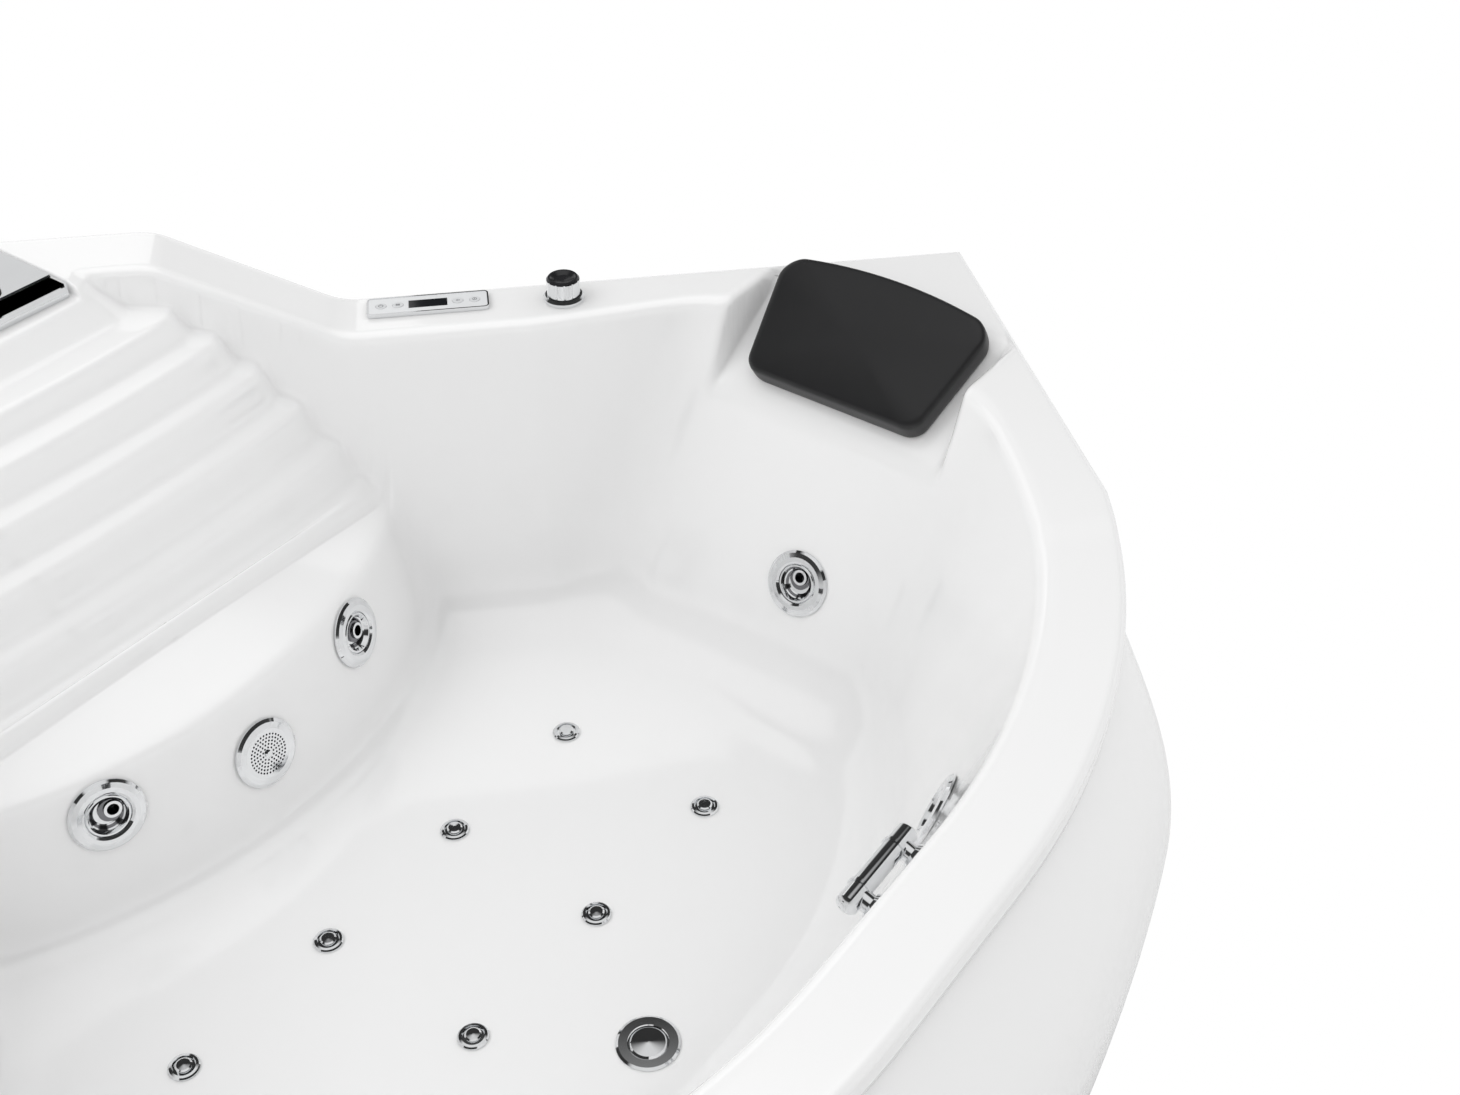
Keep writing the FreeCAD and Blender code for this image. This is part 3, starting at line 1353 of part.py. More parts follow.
VALVE_TOP = DECK + 2.5
VALVES = [standing(at(side * size("valve_side"), size("valve_along"), VALVE_TOP)) for side in (-1, 1)]
VALVE_BASE = turned_body("ValveBase", (
    ("0", "0.3"), ("valve_base_radius", "0.3"), ("valve_base_radius", "3"),
    ("valve_base_radius - 4", "6"), ("valve_base_radius - 8", "12"),
    ("valve_base_radius - 8", "valve_base_height"), ("0", "valve_base_height")))
copies("valve_bases", VALVE_BASE, VALVES)
for name, place in zip(("valve_handle_left", "valve_handle_right"), VALVES):
    dome = turned_body(name, (
        ("0", "valve_base_height + 0.3"), ("valve_dome_radius", "valve_base_height + 0.3"),
        ("valve_dome_radius + 1.2", "valve_base_height + 3"),
        ("valve_dome_radius", "valve_base_height + 6"),
        ("valve_dome_radius", "valve_base_height + 12"),
        ("valve_dome_radius - 3", "valve_base_height + valve_dome_height - 10"),
        ("valve_dome_radius - 9", "valve_base_height + valve_dome_height - 3"),
        ("0", "valve_base_height + valve_dome_height")))
    grip = drill(dome, name + "_grip", "valve_dome_radius + 3.2", "5")
    ring_of(dome, grip, name + "_grips", 6)
    dome.Placement = place
    keep(dome, name)

# Pump, motor and rotor on the machine board; the pump faces the suction.

PUMP_ALONG = size("pump_along") + 10.0
PUMP_LEVEL = size("pump_level")
PUMP = standing(at(0.0, PUMP_ALONG, PUMP_LEVEL), Vector(0, -1, 0))
CASING = turned_body("PumpCasing", (
    ("30", "-wet_end_length/2"), ("wet_end_radius", "-wet_end_length/2"),
    ("wet_end_radius", "wet_end_length/2"), ("30", "wet_end_length/2 + 6"),
    ("26", "wet_end_length/2 + 8"), ("26", "wet_end_length/2 + 40"),
    ("20.4", "wet_end_length/2 + 40"), ("20.4", "wet_end_length/2 + 12"),
    ("18", "wet_end_length/2 + 12"), ("18", "wet_end_length/2 - 8"),
    ("wet_end_radius - 12", "wet_end_length/2 - 8"), ("wet_end_radius - 12", "-wet_end_length/2 + 8"),
    ("30", "-wet_end_length/2 + 8")))


def pump_housing_shape():
    """The turned casing with its upright outlet and its foot."""
    casing = CASING.Shape.copy()
    casing.Placement = PUMP
    middle = at(0.0, PUMP_ALONG, PUMP_LEVEL)
    width = size("wet_end_length")
    outlet = rod(middle, UP, 24.0, size("wet_end_radius") + 30.0)
    plate = slab(-78.0, 78.0, PUMP_ALONG - 30.0, PUMP_ALONG + 30.0, BOARD_TOP, BOARD_TOP + 6.0)
    web = slab(-40.0, 40.0, PUMP_ALONG - 22.0, PUMP_ALONG + 22.0, BOARD_TOP, PUMP_LEVEL - 40.0)
    back = middle + Vector(0, width / 2.0 - 8.0, 0)
    chamber = rod(back, Vector(0, -1, 0), size("wet_end_radius") - 12.0, width - 16.0)
    bore = rod(middle, UP, 18.0, size("wet_end_radius") + 10.0)
    seat = rod(middle + UP * (size("wet_end_radius") + 6.0), UP, 20.4, 40.0)
    return casing.fuse([outlet, plate, web]).cut([chamber, bore, seat]).removeSplitter()


in_code("pump_housing", pump_housing_shape())

rotor = turned_body("pump_rotor", (
    ("0", "-wet_end_length/2 - 20"), ("8", "-wet_end_length/2 - 20"), ("8", "-8"),
    ("wet_end_radius - 12 - 5*rotor_gap", "-8"), ("wet_end_radius - 12 - 5*rotor_gap", "8"),
    ("20", "14"), ("0", "14")))
vane = drill(rotor, "vane_slot", "wet_end_radius - 30", "7")
ring_of(rotor, vane, "vane_slots", 6)
rotor.Placement = PUMP
keep(rotor, "pump_rotor")

MOTOR_FACE = PUMP_ALONG - size("wet_end_length") / 2.0
motor = turned_body("MotorCan", (
    ("9", "0"), ("29.7", "0"), ("29.7", "-6"), ("motor_radius", "-6"),
    ("motor_radius", "-motor_length + 30"), ("motor_radius + 3", "-motor_length + 30"),
    ("motor_radius + 3", "-motor_length + 6"), ("motor_radius - 6", "-motor_length"),
    ("0", "-motor_length"), ("0", "-24"), ("9", "-24")))


def pump_motor_shape():
    """The motor can with cooling fins, a terminal box and its foot."""
    radius = size("motor_radius")
    length = size("motor_length")
    face = at(0.0, MOTOR_FACE - 0.3, PUMP_LEVEL)
    can = motor.Shape.copy()
    can.Placement = standing(face, Vector(0, -1, 0))
    fins = []
    for turn in range(24):
        angle = math.radians(15.0 * turn)
        middle = face + Vector(0, length / 2.0 + 2.0, 0)
        fin = Part.makeBox(3.0, length - 62.0, 8.0, Vector(-1.5, -(length - 62.0) / 2.0, radius - 3.0))
        fin.Placement = Placement(middle, Rotation(Vector(0, 1, 0), math.degrees(angle)))
        fins.append(fin)
    fins.append(slab(-30.0, 30.0, MOTOR_FACE - 110.0, MOTOR_FACE - 50.0, PUMP_LEVEL + radius - 6.0,
                     PUMP_LEVEL + radius + 26.0))
    fins.append(slab(-70.0, 70.0, MOTOR_FACE - 100.0, MOTOR_FACE - 60.0, BOARD_TOP, BOARD_TOP + 6.0))
    fins.append(slab(-34.0, 34.0, MOTOR_FACE - 95.0, MOTOR_FACE - 65.0, BOARD_TOP, PUMP_LEVEL - 40.0))
    return can.fuse(fins).removeSplitter()


in_code("pump_motor", pump_motor_shape())

# Air blower with its fan.

BLOWER = Placement(at(BLOWER_SIDE, BLOWER_ALONG, BOARD_TOP), Rotation())
blower = turned_body("BlowerCase", (
    ("0", "0"), ("blower_radius", "0"), ("blower_radius", "72"), ("blower_radius - 16", "80"),
    ("blower_radius - 16", "blower_height"), ("22", "blower_height"), ("22", "72"),
    ("blower_radius - 8", "66"), ("blower_radius - 8", "6"), ("0", "6")))


def blower_housing_shape():
    """The blower case with its outlet spigot."""
    case = blower.Shape.copy()
    case.Placement = BLOWER
    start = at(AIR_FEED, BLOWER_ALONG, BLOWER_SPIGOT)
    ahead = Vector(0, -1, 0)
    spigot = rod(start, ahead, 14.0, size("blower_radius") + 14.0)
    hollow = rod(at(BLOWER_SIDE, BLOWER_ALONG, BOARD_TOP + 6.0), UP, size("blower_radius") - 8.0, 60.0)
    return case.fuse(spigot.cut([hollow, rod(start, ahead, 7.0, 200.0)])).removeSplitter()


in_code("blower_housing", blower_housing_shape())

fan = turned_body("blower_fan", (
    ("0", "10"), ("blower_radius - 13", "10"), ("blower_radius - 13", "14"),
    ("blower_radius - 18", "40"), ("20", "40"), ("16", "62"), ("0", "62")))
blade = drill(fan, "blade_slot", "blower_radius - 28", "6")
ring_of(fan, blade, "blade_slots", 12)
fan.Placement = BLOWER
keep(fan, "blower_fan")

# Control box with a lid and two cable entries.


def control_box_shape():
    low = slab(130.0, 262.0, 360.0, 460.0, BOARD_TOP, BOARD_TOP + 140.0)
    low = low.makeFillet(8.0, [edge for edge in low.Edges if abs(edge.tangentAt(0).z) > 0.9])
    lid = slab(127.0, 265.0, 357.0, 463.0, BOARD_TOP + 140.0, BOARD_TOP + 152.0)
    glands = [rod(at(side, 459.0, BOARD_TOP + 40.0), Vector(0, -1, 0), 8.0, 16.0)
              for side in (165.0, 227.0)]
    return low.fuse([lid] + glands)


in_code("control_box", control_box_shape())

# Water pipes: a riser from the pump with a branch round each side, and a hose to every jet.

PIPE = size("pipe_radius")
PIPE_SIDE = size("lounge_side") - 57.0
BEND_SIDE = 500.0
RISER_TOP = PUMP_LEVEL + size("wet_end_radius") + 52.0


def behind(placement, distance):
    """A point straight behind a wall fitting."""
    return placement.Base - placement.Rotation.multVec(UP) * distance


def branch(side, foot_jet, lounge_jet, front_jet):
    """The pipe round one side, with its hoses, as solids to be joined."""
    level = RISER_TOP
    body_end = size("jet_body_length") + SHEET + 0.3
    last = behind(front_jet, body_end)
    run = [at(0.0, PUMP_ALONG, level), at(side * 425.0, PUMP_ALONG, level),
           at(side * PIPE_SIDE, 785.0, level), at(side * PIPE_SIDE, 1270.0, level),
           at(side * BEND_SIDE, front_wall_along(BEND_SIDE, 0.0) - 63.3, level),
           behind(front_jet, body_end + 60.0), last]
    solids = [pipe_along(run, 45.0, PIPE)]
    start = behind(foot_jet, body_end)
    solids.append(pipe_along([start, behind(foot_jet, body_end + 50.0),
                              at(side * 150.0, PUMP_ALONG, level)], 16.0, 13.0))
    start = behind(lounge_jet, body_end)
    solids.append(pipe_along([start, behind(lounge_jet, body_end + 36.0),
                              at(side * PIPE_SIDE, LOUNGE_JET_ALONG, level)], 16.0, 13.0))
    return solids


riser = rod(at(0.0, PUMP_ALONG, PUMP_LEVEL + size("wet_end_radius") + 6.3), UP, PIPE, 46.0)
cap = Part.makeSphere(PIPE, at(0.0, PUMP_ALONG, RISER_TOP))
right = branch(1.0, JET_BACKS[1], JET_BACKS[2], JET_BACKS[4])
left = branch(-1.0, JET_BACKS[0], JET_BACKS[3], JET_BACKS[5])
in_code("water_pipes", riser.fuse([cap] + right + left).removeSplitter())

SUCTION_END = behind(SUCTION_BACK, SHEET + 58.3)
INLET = at(0.0, PUMP_ALONG + size("wet_end_length") / 2.0 + 12.3, PUMP_LEVEL)
fall = SUCTION_BACK.Base.z - PUMP_LEVEL
knee = behind(SUCTION_BACK, fall / SUCTION_BACK.Rotation.multVec(UP).z)
in_code("suction_pipe", pipe_along([INLET, knee, SUCTION_END], 30.0, PIPE, PIPE - size("pipe_wall")))

# Brackets that hold the apron to the frame.


def apron_inside(along, z):
    """How far sideways the inner face of the end return lies, at a distance from the corner."""
    front = apron_half(z, size("apron_sheet"))[-1]
    back = apron_back_point(size("apron_sheet"), z)
    share = (TUB_CENTRE - along - front.y) / (back.y - front.y)
    return front.x + share * (back.x - front.x)


def front_clip(side):
    """A block from the front bearer to the back of the apron."""
    level = RIM - size("apron_top_gap")
    inside = apron_half(level, size("apron_sheet"))
    reach = max(point.y for point in inside if point.x <= abs(side) + 50.0)
    start = FRONT_POST_ALONG + TUBE / 2.0
    return slab(side - 15.0, side + 15.0, start, TUB_CENTRE - reach - 0.3, BEARER, BEARER + 22.0)


def side_clip(side):
    """A strip from the side upright to the inside of the end return."""
    start = SIDE_POST + TUBE / 2.0
    near = CROSS_ALONG - TUBE / 2.0
    far = CROSS_ALONG + TUBE / 2.0
    level = BEARER - 16.0
    ends = [(start, near), (start, far), (apron_inside(far, level) - 0.5, far),
            (apron_inside(near, level) - 0.5, near)]
    face = face_of([at(side * u, a, level) for u, a in ends])
    return face.extrude(Vector(0, 0, 12.0))


clips = [front_clip(side) for side in (-150.0, 0.0, 150.0)] + [side_clip(side) for side in (-1.0, 1.0)]
in_code("apron_clips", Part.makeCompound(clips))


doc.recompute()
os.makedirs("parts", exist_ok=True)
for thing in parts:
    if "Invalid" in thing.State or "Error" in thing.State:
        raise RuntimeError("%s did not recompute" % thing.Label)
    if thing.Shape.isNull() or not thing.Shape.isValid():
        raise RuntimeError("%s has no valid shape" % thing.Label)
    thing.Shape.exportStep("parts/%s.step" % thing.Label)
    box = thing.Shape.BoundBox
    print("%-22s solids %d  x %.1f %.1f  y %.1f %.1f  z %.1f %.1f  vol %.0f" % (
        thing.Label, len(thing.Shape.Solids), box.XMin, box.XMax, box.YMin, box.YMax, box.ZMin, box.ZMax,
        thing.Shape.Volume / 1000.0))
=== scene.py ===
import json
import math

import bmesh
import bpy
import numpy as np
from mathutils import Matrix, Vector


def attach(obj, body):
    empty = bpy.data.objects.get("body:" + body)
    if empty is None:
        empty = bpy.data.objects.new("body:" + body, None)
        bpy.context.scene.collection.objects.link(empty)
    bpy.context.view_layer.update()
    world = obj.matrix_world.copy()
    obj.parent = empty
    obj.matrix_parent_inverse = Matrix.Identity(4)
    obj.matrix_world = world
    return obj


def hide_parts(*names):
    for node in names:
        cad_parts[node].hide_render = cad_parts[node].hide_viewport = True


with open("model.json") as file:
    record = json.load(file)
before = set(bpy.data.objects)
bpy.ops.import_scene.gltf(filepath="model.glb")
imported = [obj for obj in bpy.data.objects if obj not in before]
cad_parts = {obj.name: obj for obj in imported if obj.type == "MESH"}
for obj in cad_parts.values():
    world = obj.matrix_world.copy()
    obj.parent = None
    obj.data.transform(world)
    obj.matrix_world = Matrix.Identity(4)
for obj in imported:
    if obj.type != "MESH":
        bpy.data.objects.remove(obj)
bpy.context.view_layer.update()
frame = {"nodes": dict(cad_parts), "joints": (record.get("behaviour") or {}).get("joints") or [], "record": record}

# Sizes in millimetres, in the plan used for the part: u sideways, a from the room corner.
# Heights are over the floor, or over the low rim where a name or comment says so.
ROOT2 = math.sqrt(2.0)
RIM = 560.0
DECK_RISE = 123.0
DEPTH = 430.0
SHEET = 6.0

# The rim's front is an arc with its centre at this side and place along.
FRONT_SIDE = 96.2
FRONT_ALONG = 755.2
FRONT_RADIUS = 903.4
FRONT_EDGE = FRONT_ALONG + FRONT_RADIUS
APRON_BELLY = 87.0
TUB_CENTRE = (FRONT_EDGE + APRON_BELLY) / 2.0

# Basin walls: place at the rim, then lean in degrees. The back rim narrows along the wall.
BACK_RIM = 102.0
RIM_NARROWING = 31.0
NARROW_START = 880.0
NARROW_LENGTH = 261.0
LOUNGE_SIDE = 757.0
END_ALONG = 1421.0
BASIN_RADIUS = 816.0
WALL_LEAN = 8.0
LOUNGE_LEAN = 25.0
FRONT_LEAN = 20.0
SEAT_LEAN = 13.0

# Width of the round where each wall meets what came before it.
LOUNGE_ROUND = 55.0
END_ROUND = 40.0
FRONT_ROUND = 40.0
FLOOR_ROUND = 74.0
CASCADE_ROUND = 9.0
RISER_ROUND = 34.0
RAMP_ROUND = 12.0
DECK_ROUND = 10.0
LEDGE_ROUND = 10.0
RECESS_FOOT_ROUND = 6.0
RECESS_END_ROUND = 12.0
RECESS_MOUTH_ROUND = 12.0
RIM_ROUND = 16.0
POCKET_ROUND = 6.0
POCKET_BRIM_ROUND = 5.0

# Pillow recess: a slope and a ledge, each by its upper end and the direction square to it.
RECESS_START = 868.0
RECESS_END = 1222.0
RECESS_DROP = 118.0
SLOPE_SIDE = 871.5
SLOPE_DROP = 2.0
SLOPE_WAY = (0.567, 0.824)
LEDGE_SIDE = 733.5
LEDGE_DROP = 97.0
LEDGE_WAY = (0.487, 0.873)

# The spout's pocket in the deck.
POCKET_SIDE = 144.0
POCKET_START = 167.0
POCKET_END = 368.0
POCKET_DEPTH = 19.0
SPOUT_ALONG = 230.0

# The riser under the seat, by the middle of the suction grille: along, and below the rim.
SEAT_ALONG = 716.0
SEAT_DROP = 326.0

# Floor fittings.
AIR_JET_ROWS = (915.0, 1140.0)
AIR_JET_COLUMNS = (-318.0, -106.0, 106.0, 318.0)
DRAIN_ALONG = 1300.0


def to_frame(u, a, z):
    """Arrays of plan points and heights over the floor, as metres in the part's frame."""
    return np.stack([u, TUB_CENTRE - a, z], axis=-1) / 1000.0


def higher(first, second, blend):
    """The greater of two fields, rounded where they meet."""
    gap = np.maximum(blend - np.abs(first - second), 0.0)
    return np.maximum(first, second) + gap * gap / (4.0 * blend)


def lower(first, second, blend):
    """The lesser of two fields, rounded where they meet."""
    return -higher(-first, -second, blend)


# Bath shell: fields that are positive in empty space; the surface lies where they are zero.

def smoothed_profile(points, sigma):
    """A line through points, resampled every millimetre and softened."""
    along = np.arange(points[0][0], points[-1][0] + 1.0, 1.0)
    rise = np.interp(along, [p[0] for p in points], [p[1] for p in points])
    reach = int(4 * sigma)
    kernel = np.exp(-0.5 * (np.arange(-reach, reach + 1) / sigma) ** 2)
    kernel /= kernel.sum()
    padded = np.concatenate([np.full(reach, rise[0]), rise, np.full(reach, rise[-1])])
    soft = np.convolve(padded, kernel, mode="valid")
    return along, soft, np.gradient(soft)


# Steps of the cascade: place along the middle line and height over the low rim.
CASCADE = ((345.0, 95.0), (408.0, 62.0), (447.0, 20.0), (482.0, -30.0),
           (518.0, -86.0), (553.0, -150.0), (585.0, -213.0))
CASCADE_BACK = 328.0
CASCADE_SWEEP = 2500.0
STEP_HOLLOW = 9.0
TIP_DROP = 16.0
TIP_WIDTH = 46.0
SEAT_SLOPE = math.tan(math.radians(SEAT_LEAN))
RISER_CENTRE = 71.0
ABOVE_ALL = 420.0
BELOW_ALL = -640.0


def cascade_points():
    """The cascade's profile: each step hollows out on its way down to the next."""
    points = [(CASCADE_BACK - 28.0, ABOVE_ALL), (CASCADE_BACK - 0.5, ABOVE_ALL),
              (CASCADE_BACK + 0.5, DECK_RISE), CASCADE[0]]
    for before, after in zip(CASCADE, CASCADE[1:]):
        along = after[0] - before[0]
        down = before[1] - after[1]
        run = math.hypot(along, down)
        points.append((before[0] + 0.42 * along - STEP_HOLLOW * down / run,
                       before[1] - 0.58 * down - STEP_HOLLOW * along / run))
        points.append(after)
    points.append((CASCADE[-1][0] + 1.5, BELOW_ALL))
    points.append((700.0, BELOW_ALL))
    return points


def riser_points():
    """The seat's front: a rounded nose, then the riser that leans out down to the floor."""
    nose = SEAT_ALONG - 80.0 * SEAT_SLOPE
    foot = SEAT_ALONG + 104.0 * SEAT_SLOPE
    return [(400.0, -150.0), (nose - 14.0, -236.0), (nose, -246.0), (SEAT_ALONG, -SEAT_DROP),
            (foot, -DEPTH), (foot + 40.0, -DEPTH - 40.0 / SEAT_SLOPE), (900.0, BELOW_ALL)]


CASCADE_LINE = smoothed_profile(cascade_points(), 4.0)
RISER_LINE = smoothed_profile(riser_points(), 3.5)


def over_profile(line, along, z):
    """Distance of points over a softened profile, measured square to it."""
    rise = np.interp(along, line[0], line[1])
    steep = np.interp(along, line[0], line[2])
    return (z - rise) / np.sqrt(1.0 + steep * steep)


RAMP_END = 637.0
RAMP_LENGTH = 225.0


def wall_rise(place):
    """Top of the rim along one wall: deck, ramp, low rim."""
    ramp = DECK_RISE * (RAMP_END - place) / RAMP_LENGTH
    over_rim = higher(ramp, np.zeros_like(place), RAMP_ROUND)
    return lower(np.full_like(place, DECK_RISE), over_rim, RAMP_ROUND)


def top_surface(u, a):
    """Height of the rim and deck over the low rim."""
    return lower(wall_rise((a + u) / ROOT2), wall_rise((a - u) / ROOT2), DECK_ROUND)


def sloped(distance, z, degrees):
    """Distance inside a wall that leans out by an angle and starts at the rim."""
    angle = math.radians(degrees)
    return (distance + math.tan(angle) * np.minimum(z, 0.0)) * math.cos(angle)


def basin_field(u, a, z):
    """Positive in the hollow of the basin, negative in the material."""
    side = np.abs(u)
    near = (a - side) / ROOT2
    far = (a + side) / ROOT2
    back_width = BACK_RIM - RIM_NARROWING * np.clip((far - NARROW_START) / NARROW_LENGTH, 0.0, 1.0)
    back = sloped(near - back_width, z, WALL_LEAN)
    lounge = sloped(LOUNGE_SIDE - side, z, LOUNGE_LEAN)
    end = sloped(END_ALONG - far, z, WALL_LEAN)
    off = np.maximum(side - FRONT_SIDE, 0.0)
    away = np.maximum(a - FRONT_ALONG, 0.0)
    front = sloped(BASIN_RADIUS - np.hypot(off, away), z, FRONT_LEAN)
    hollow = lower(back, lounge, LOUNGE_ROUND)
    hollow = lower(hollow, end, END_ROUND)
    hollow = lower(hollow, front, FRONT_ROUND)
    hollow = lower(hollow, z + DEPTH, FLOOR_ROUND)
    tips = TIP_DROP * np.clip(1.0 - (near - back_width) / TIP_WIDTH, 0.0, 1.0) ** 2
    swept = np.hypot(u, a - (CASCADE_BACK - CASCADE_SWEEP)) + CASCADE_BACK - CASCADE_SWEEP
    cascade = over_profile(CASCADE_LINE, swept + tips, z)
    riser = over_profile(RISER_LINE, np.hypot(u, a - RISER_CENTRE) + RISER_CENTRE, z)
    hollow = lower(hollow, cascade, CASCADE_ROUND)
    return lower(hollow, riser, RISER_ROUND)


def recess_field(u, a, z):
    """The slanted hollow under a pillow: a slope to lie on, and the ledge at its foot."""
    side = np.abs(u)
    slope = (SLOPE_SIDE - side) * SLOPE_WAY[0] + (z + SLOPE_DROP) * SLOPE_WAY[1]
    ledge = (LEDGE_SIDE - side) * LEDGE_WAY[0] + (z + LEDGE_DROP) * LEDGE_WAY[1]
    hollow = lower(slope, ledge, LEDGE_ROUND)
    hollow = lower(hollow, z + RECESS_DROP, RECESS_FOOT_ROUND)
    hollow = lower(hollow, a - RECESS_START, RECESS_END_ROUND)
    return lower(hollow, RECESS_END - a, RECESS_END_ROUND)


def pocket_field(u, a, z):
    """The pocket in the deck that takes the spout."""
    hollow = lower(z - (DECK_RISE - POCKET_DEPTH), POCKET_SIDE - np.abs(u), POCKET_ROUND)
    hollow = lower(hollow, a - POCKET_START, POCKET_ROUND)
    return lower(hollow, POCKET_END - a, POCKET_ROUND)


def outside_field(u, a, z):
    """Positive in empty space over the shell."""
    hollow = higher(basin_field(u, a, z), recess_field(u, a, z), RECESS_MOUTH_ROUND)
    open_space = higher(z - top_surface(u, a), hollow, RIM_ROUND)
    return higher(open_space, pocket_field(u, a, z), POCKET_BRIM_ROUND)


HALVINGS = 26


def surface_rise(u, a):
    """Solves for the height of the surface, relative to the low rim."""
    low = np.full_like(u, -DEPTH - 30.0)
    high = np.full_like(u, DECK_RISE + 10.0)
    for _ in range(HALVINGS):
        middle = 0.5 * (low + high)
        empty = outside_field(u, a, middle) > 0.0
        high = np.where(empty, middle, high)
        low = np.where(empty, low, middle)
    return 0.5 * (low + high)


def plan_from_wall(along_wall, off_wall):
    """A plan point from its places along and off the right-hand wall."""
    return ((along_wall - off_wall) / ROOT2, (along_wall + off_wall) / ROOT2)


# Outline of the rim: the end of the wall, and the corner where the front arc starts.
RIM_END = plan_from_wall(1478.0, 0.0)
RIM_VERTEX = plan_from_wall(1500.0, 567.0)

# The shell's surface is sampled along rays from a pole inside the basin.
POLE = (0.0, 1075.0)
RAYS = 520
RINGS = 190
ROLL = 9.0
ROLL_REACH = ROLL * 1.15
SKIRT = 35.0
SKIRT_SHEET = 7.5


def outline_points():
    """The rim's outline from the room corner round the right-hand side, as a fine line."""
    points = [(0.0, 0.0)]
    for step in range(1, 201):
        points.append((RIM_END[0] * step / 200.0, RIM_END[1] * step / 200.0))
    for step in range(1, 81):
        share = step / 80.0
        points.append((RIM_END[0] + share * (RIM_VERTEX[0] - RIM_END[0]),
                       RIM_END[1] + share * (RIM_VERTEX[1] - RIM_END[1])))
    start = math.atan2(RIM_VERTEX[0] - FRONT_SIDE, RIM_VERTEX[1] - FRONT_ALONG)
    for step in range(1, 161):
        angle = start * (1.0 - step / 160.0)
        points.append((FRONT_SIDE + FRONT_RADIUS * math.sin(angle),
                       FRONT_ALONG + FRONT_RADIUS * math.cos(angle)))
    points.append((0.0, FRONT_EDGE))
    return np.array(points)


def ray_angles():
    """Angles and lengths of the rays, from straight at the corner round to straight at the front."""
    outline = outline_points()
    bearing = np.arctan2(outline[:, 0] - POLE[0], POLE[1] - outline[:, 1])
    fine = np.linspace(0.0, math.pi, 4001)
    weight = np.full_like(fine, 1.0)
    # Rays stand closer round these plan points: side, along and how wide in radians.
    marks = [(POCKET_SIDE, 323.0, 0.06), (POCKET_SIDE, 200.0, 0.05), (800.0, RECESS_START, 0.05),
             (800.0, RECESS_END, 0.05), (260.0, 400.0, 0.25)]
    for u, a, width in marks:
        spot = math.atan2(u - POLE[0], POLE[1] - a)
        weight += 1.3 * np.exp(-0.5 * ((fine - spot) / width) ** 2)
    total = np.cumsum(weight)
    total = (total - total[0]) / (total[-1] - total[0])
    rays = np.interp(np.linspace(0.0, 1.0, RAYS), total, fine)
    for u, a in (RIM_END, RIM_VERTEX):
        spot = math.atan2(u - POLE[0], POLE[1] - a)
        rays[np.argmin(np.abs(rays - spot))] = spot
    reach = []
    for angle in rays:
        reach.append(ray_reach(angle, outline, bearing))
    return rays, np.array(reach)


def ray_reach(angle, outline, bearing):
    """How far from the pole a ray meets the outline."""
    index = int(np.clip(np.searchsorted(bearing, angle), 1, len(bearing) - 1))
    first = outline[index - 1] - np.array(POLE)
    second = outline[index] - np.array(POLE)
    direction = np.array([math.sin(angle), -math.cos(angle)])
    edge = second - first
    cross = direction[0] * edge[1] - direction[1] * edge[0]
    return (first[0] * edge[1] - first[1] * edge[0]) / cross


def softened(line, kernel):
    """A line of values averaged over its neighbours."""
    return np.convolve(np.pad(line, len(kernel) // 2, mode="edge"), kernel, "valid")


def shell_rows():
    """Rows of shell points along every ray of the right-hand half, closest where it bends."""
    angles, reach = ray_angles()
    across = np.sin(angles)
    along = -np.cos(angles)
    ends = reach - ROLL_REACH
    fine = np.linspace(0.0, 1.0, 901)
    r = ends[:, None] * fine[None, :]
    u = POLE[0] + across[:, None] * r
    a = POLE[1] + along[:, None] * r
    z = surface_rise(u, a)
    dr = np.gradient(r, axis=1)
    dz = np.gradient(z, axis=1)
    bend = np.abs(np.gradient(np.arctan2(dz, dr), axis=1))
    # Rings stand closer where the surface is long, and closer still where it bends.
    weight = np.hypot(dr, dz) / 5.0 + 26.0 * bend + 0.12
    kernel = np.hanning(25)
    kernel /= kernel.sum()
    for axis in (1, 0):
        weight = np.apply_along_axis(softened, axis, weight, kernel)
    total = np.cumsum(weight, axis=1)
    total = (total - total[:, :1]) / (total[:, -1:] - total[:, :1])
    picks = np.linspace(0.0, 1.0, RINGS)
    radii = np.stack([np.interp(picks, row, fine) for row in total]) * ends[:, None]
    u = POLE[0] + across[:, None] * radii
    a = POLE[1] + along[:, None] * radii
    return angles, reach, u, a, surface_rise(u, a)


def grid_faces(rows, columns, closed):
    """Faces of a grid of points; closed joins the last row to the first."""
    faces = []
    last = rows if closed else rows - 1
    for i in range(last):
        j = (i + 1) % rows
        for k in range(columns - 1):
            faces.append((i * columns + k, j * columns + k, j * columns + k + 1, i * columns + k + 1))
    return faces


def mesh_object(name, points, faces, smooth=True):
    mesh = bpy.data.meshes.new(name)
    mesh.from_pydata([tuple(p) for p in points], [], faces)
    mesh.update()
    if smooth:
        mesh.polygons.foreach_set("use_smooth", [True] * len(mesh.polygons))
    obj = bpy.data.objects.new(name, mesh)
    bpy.context.scene.collection.objects.link(obj)
    return obj


def normals_of(grid):
    """Upward normals of a closed polar grid of points."""
    round_way = np.roll(grid, -1, axis=0) - np.roll(grid, 1, axis=0)
    out_way = np.gradient(grid, axis=1)
    normal = np.cross(round_way, out_way)
    length = np.linalg.norm(normal, axis=2, keepdims=True)
    normal = normal / np.maximum(length, 1e-12)
    normal[:, 0] = (0.0, 0.0, 1.0)
    flip = np.where(normal[:, :, 2:3] < 0.0, -1.0, 1.0)
    return normal * flip


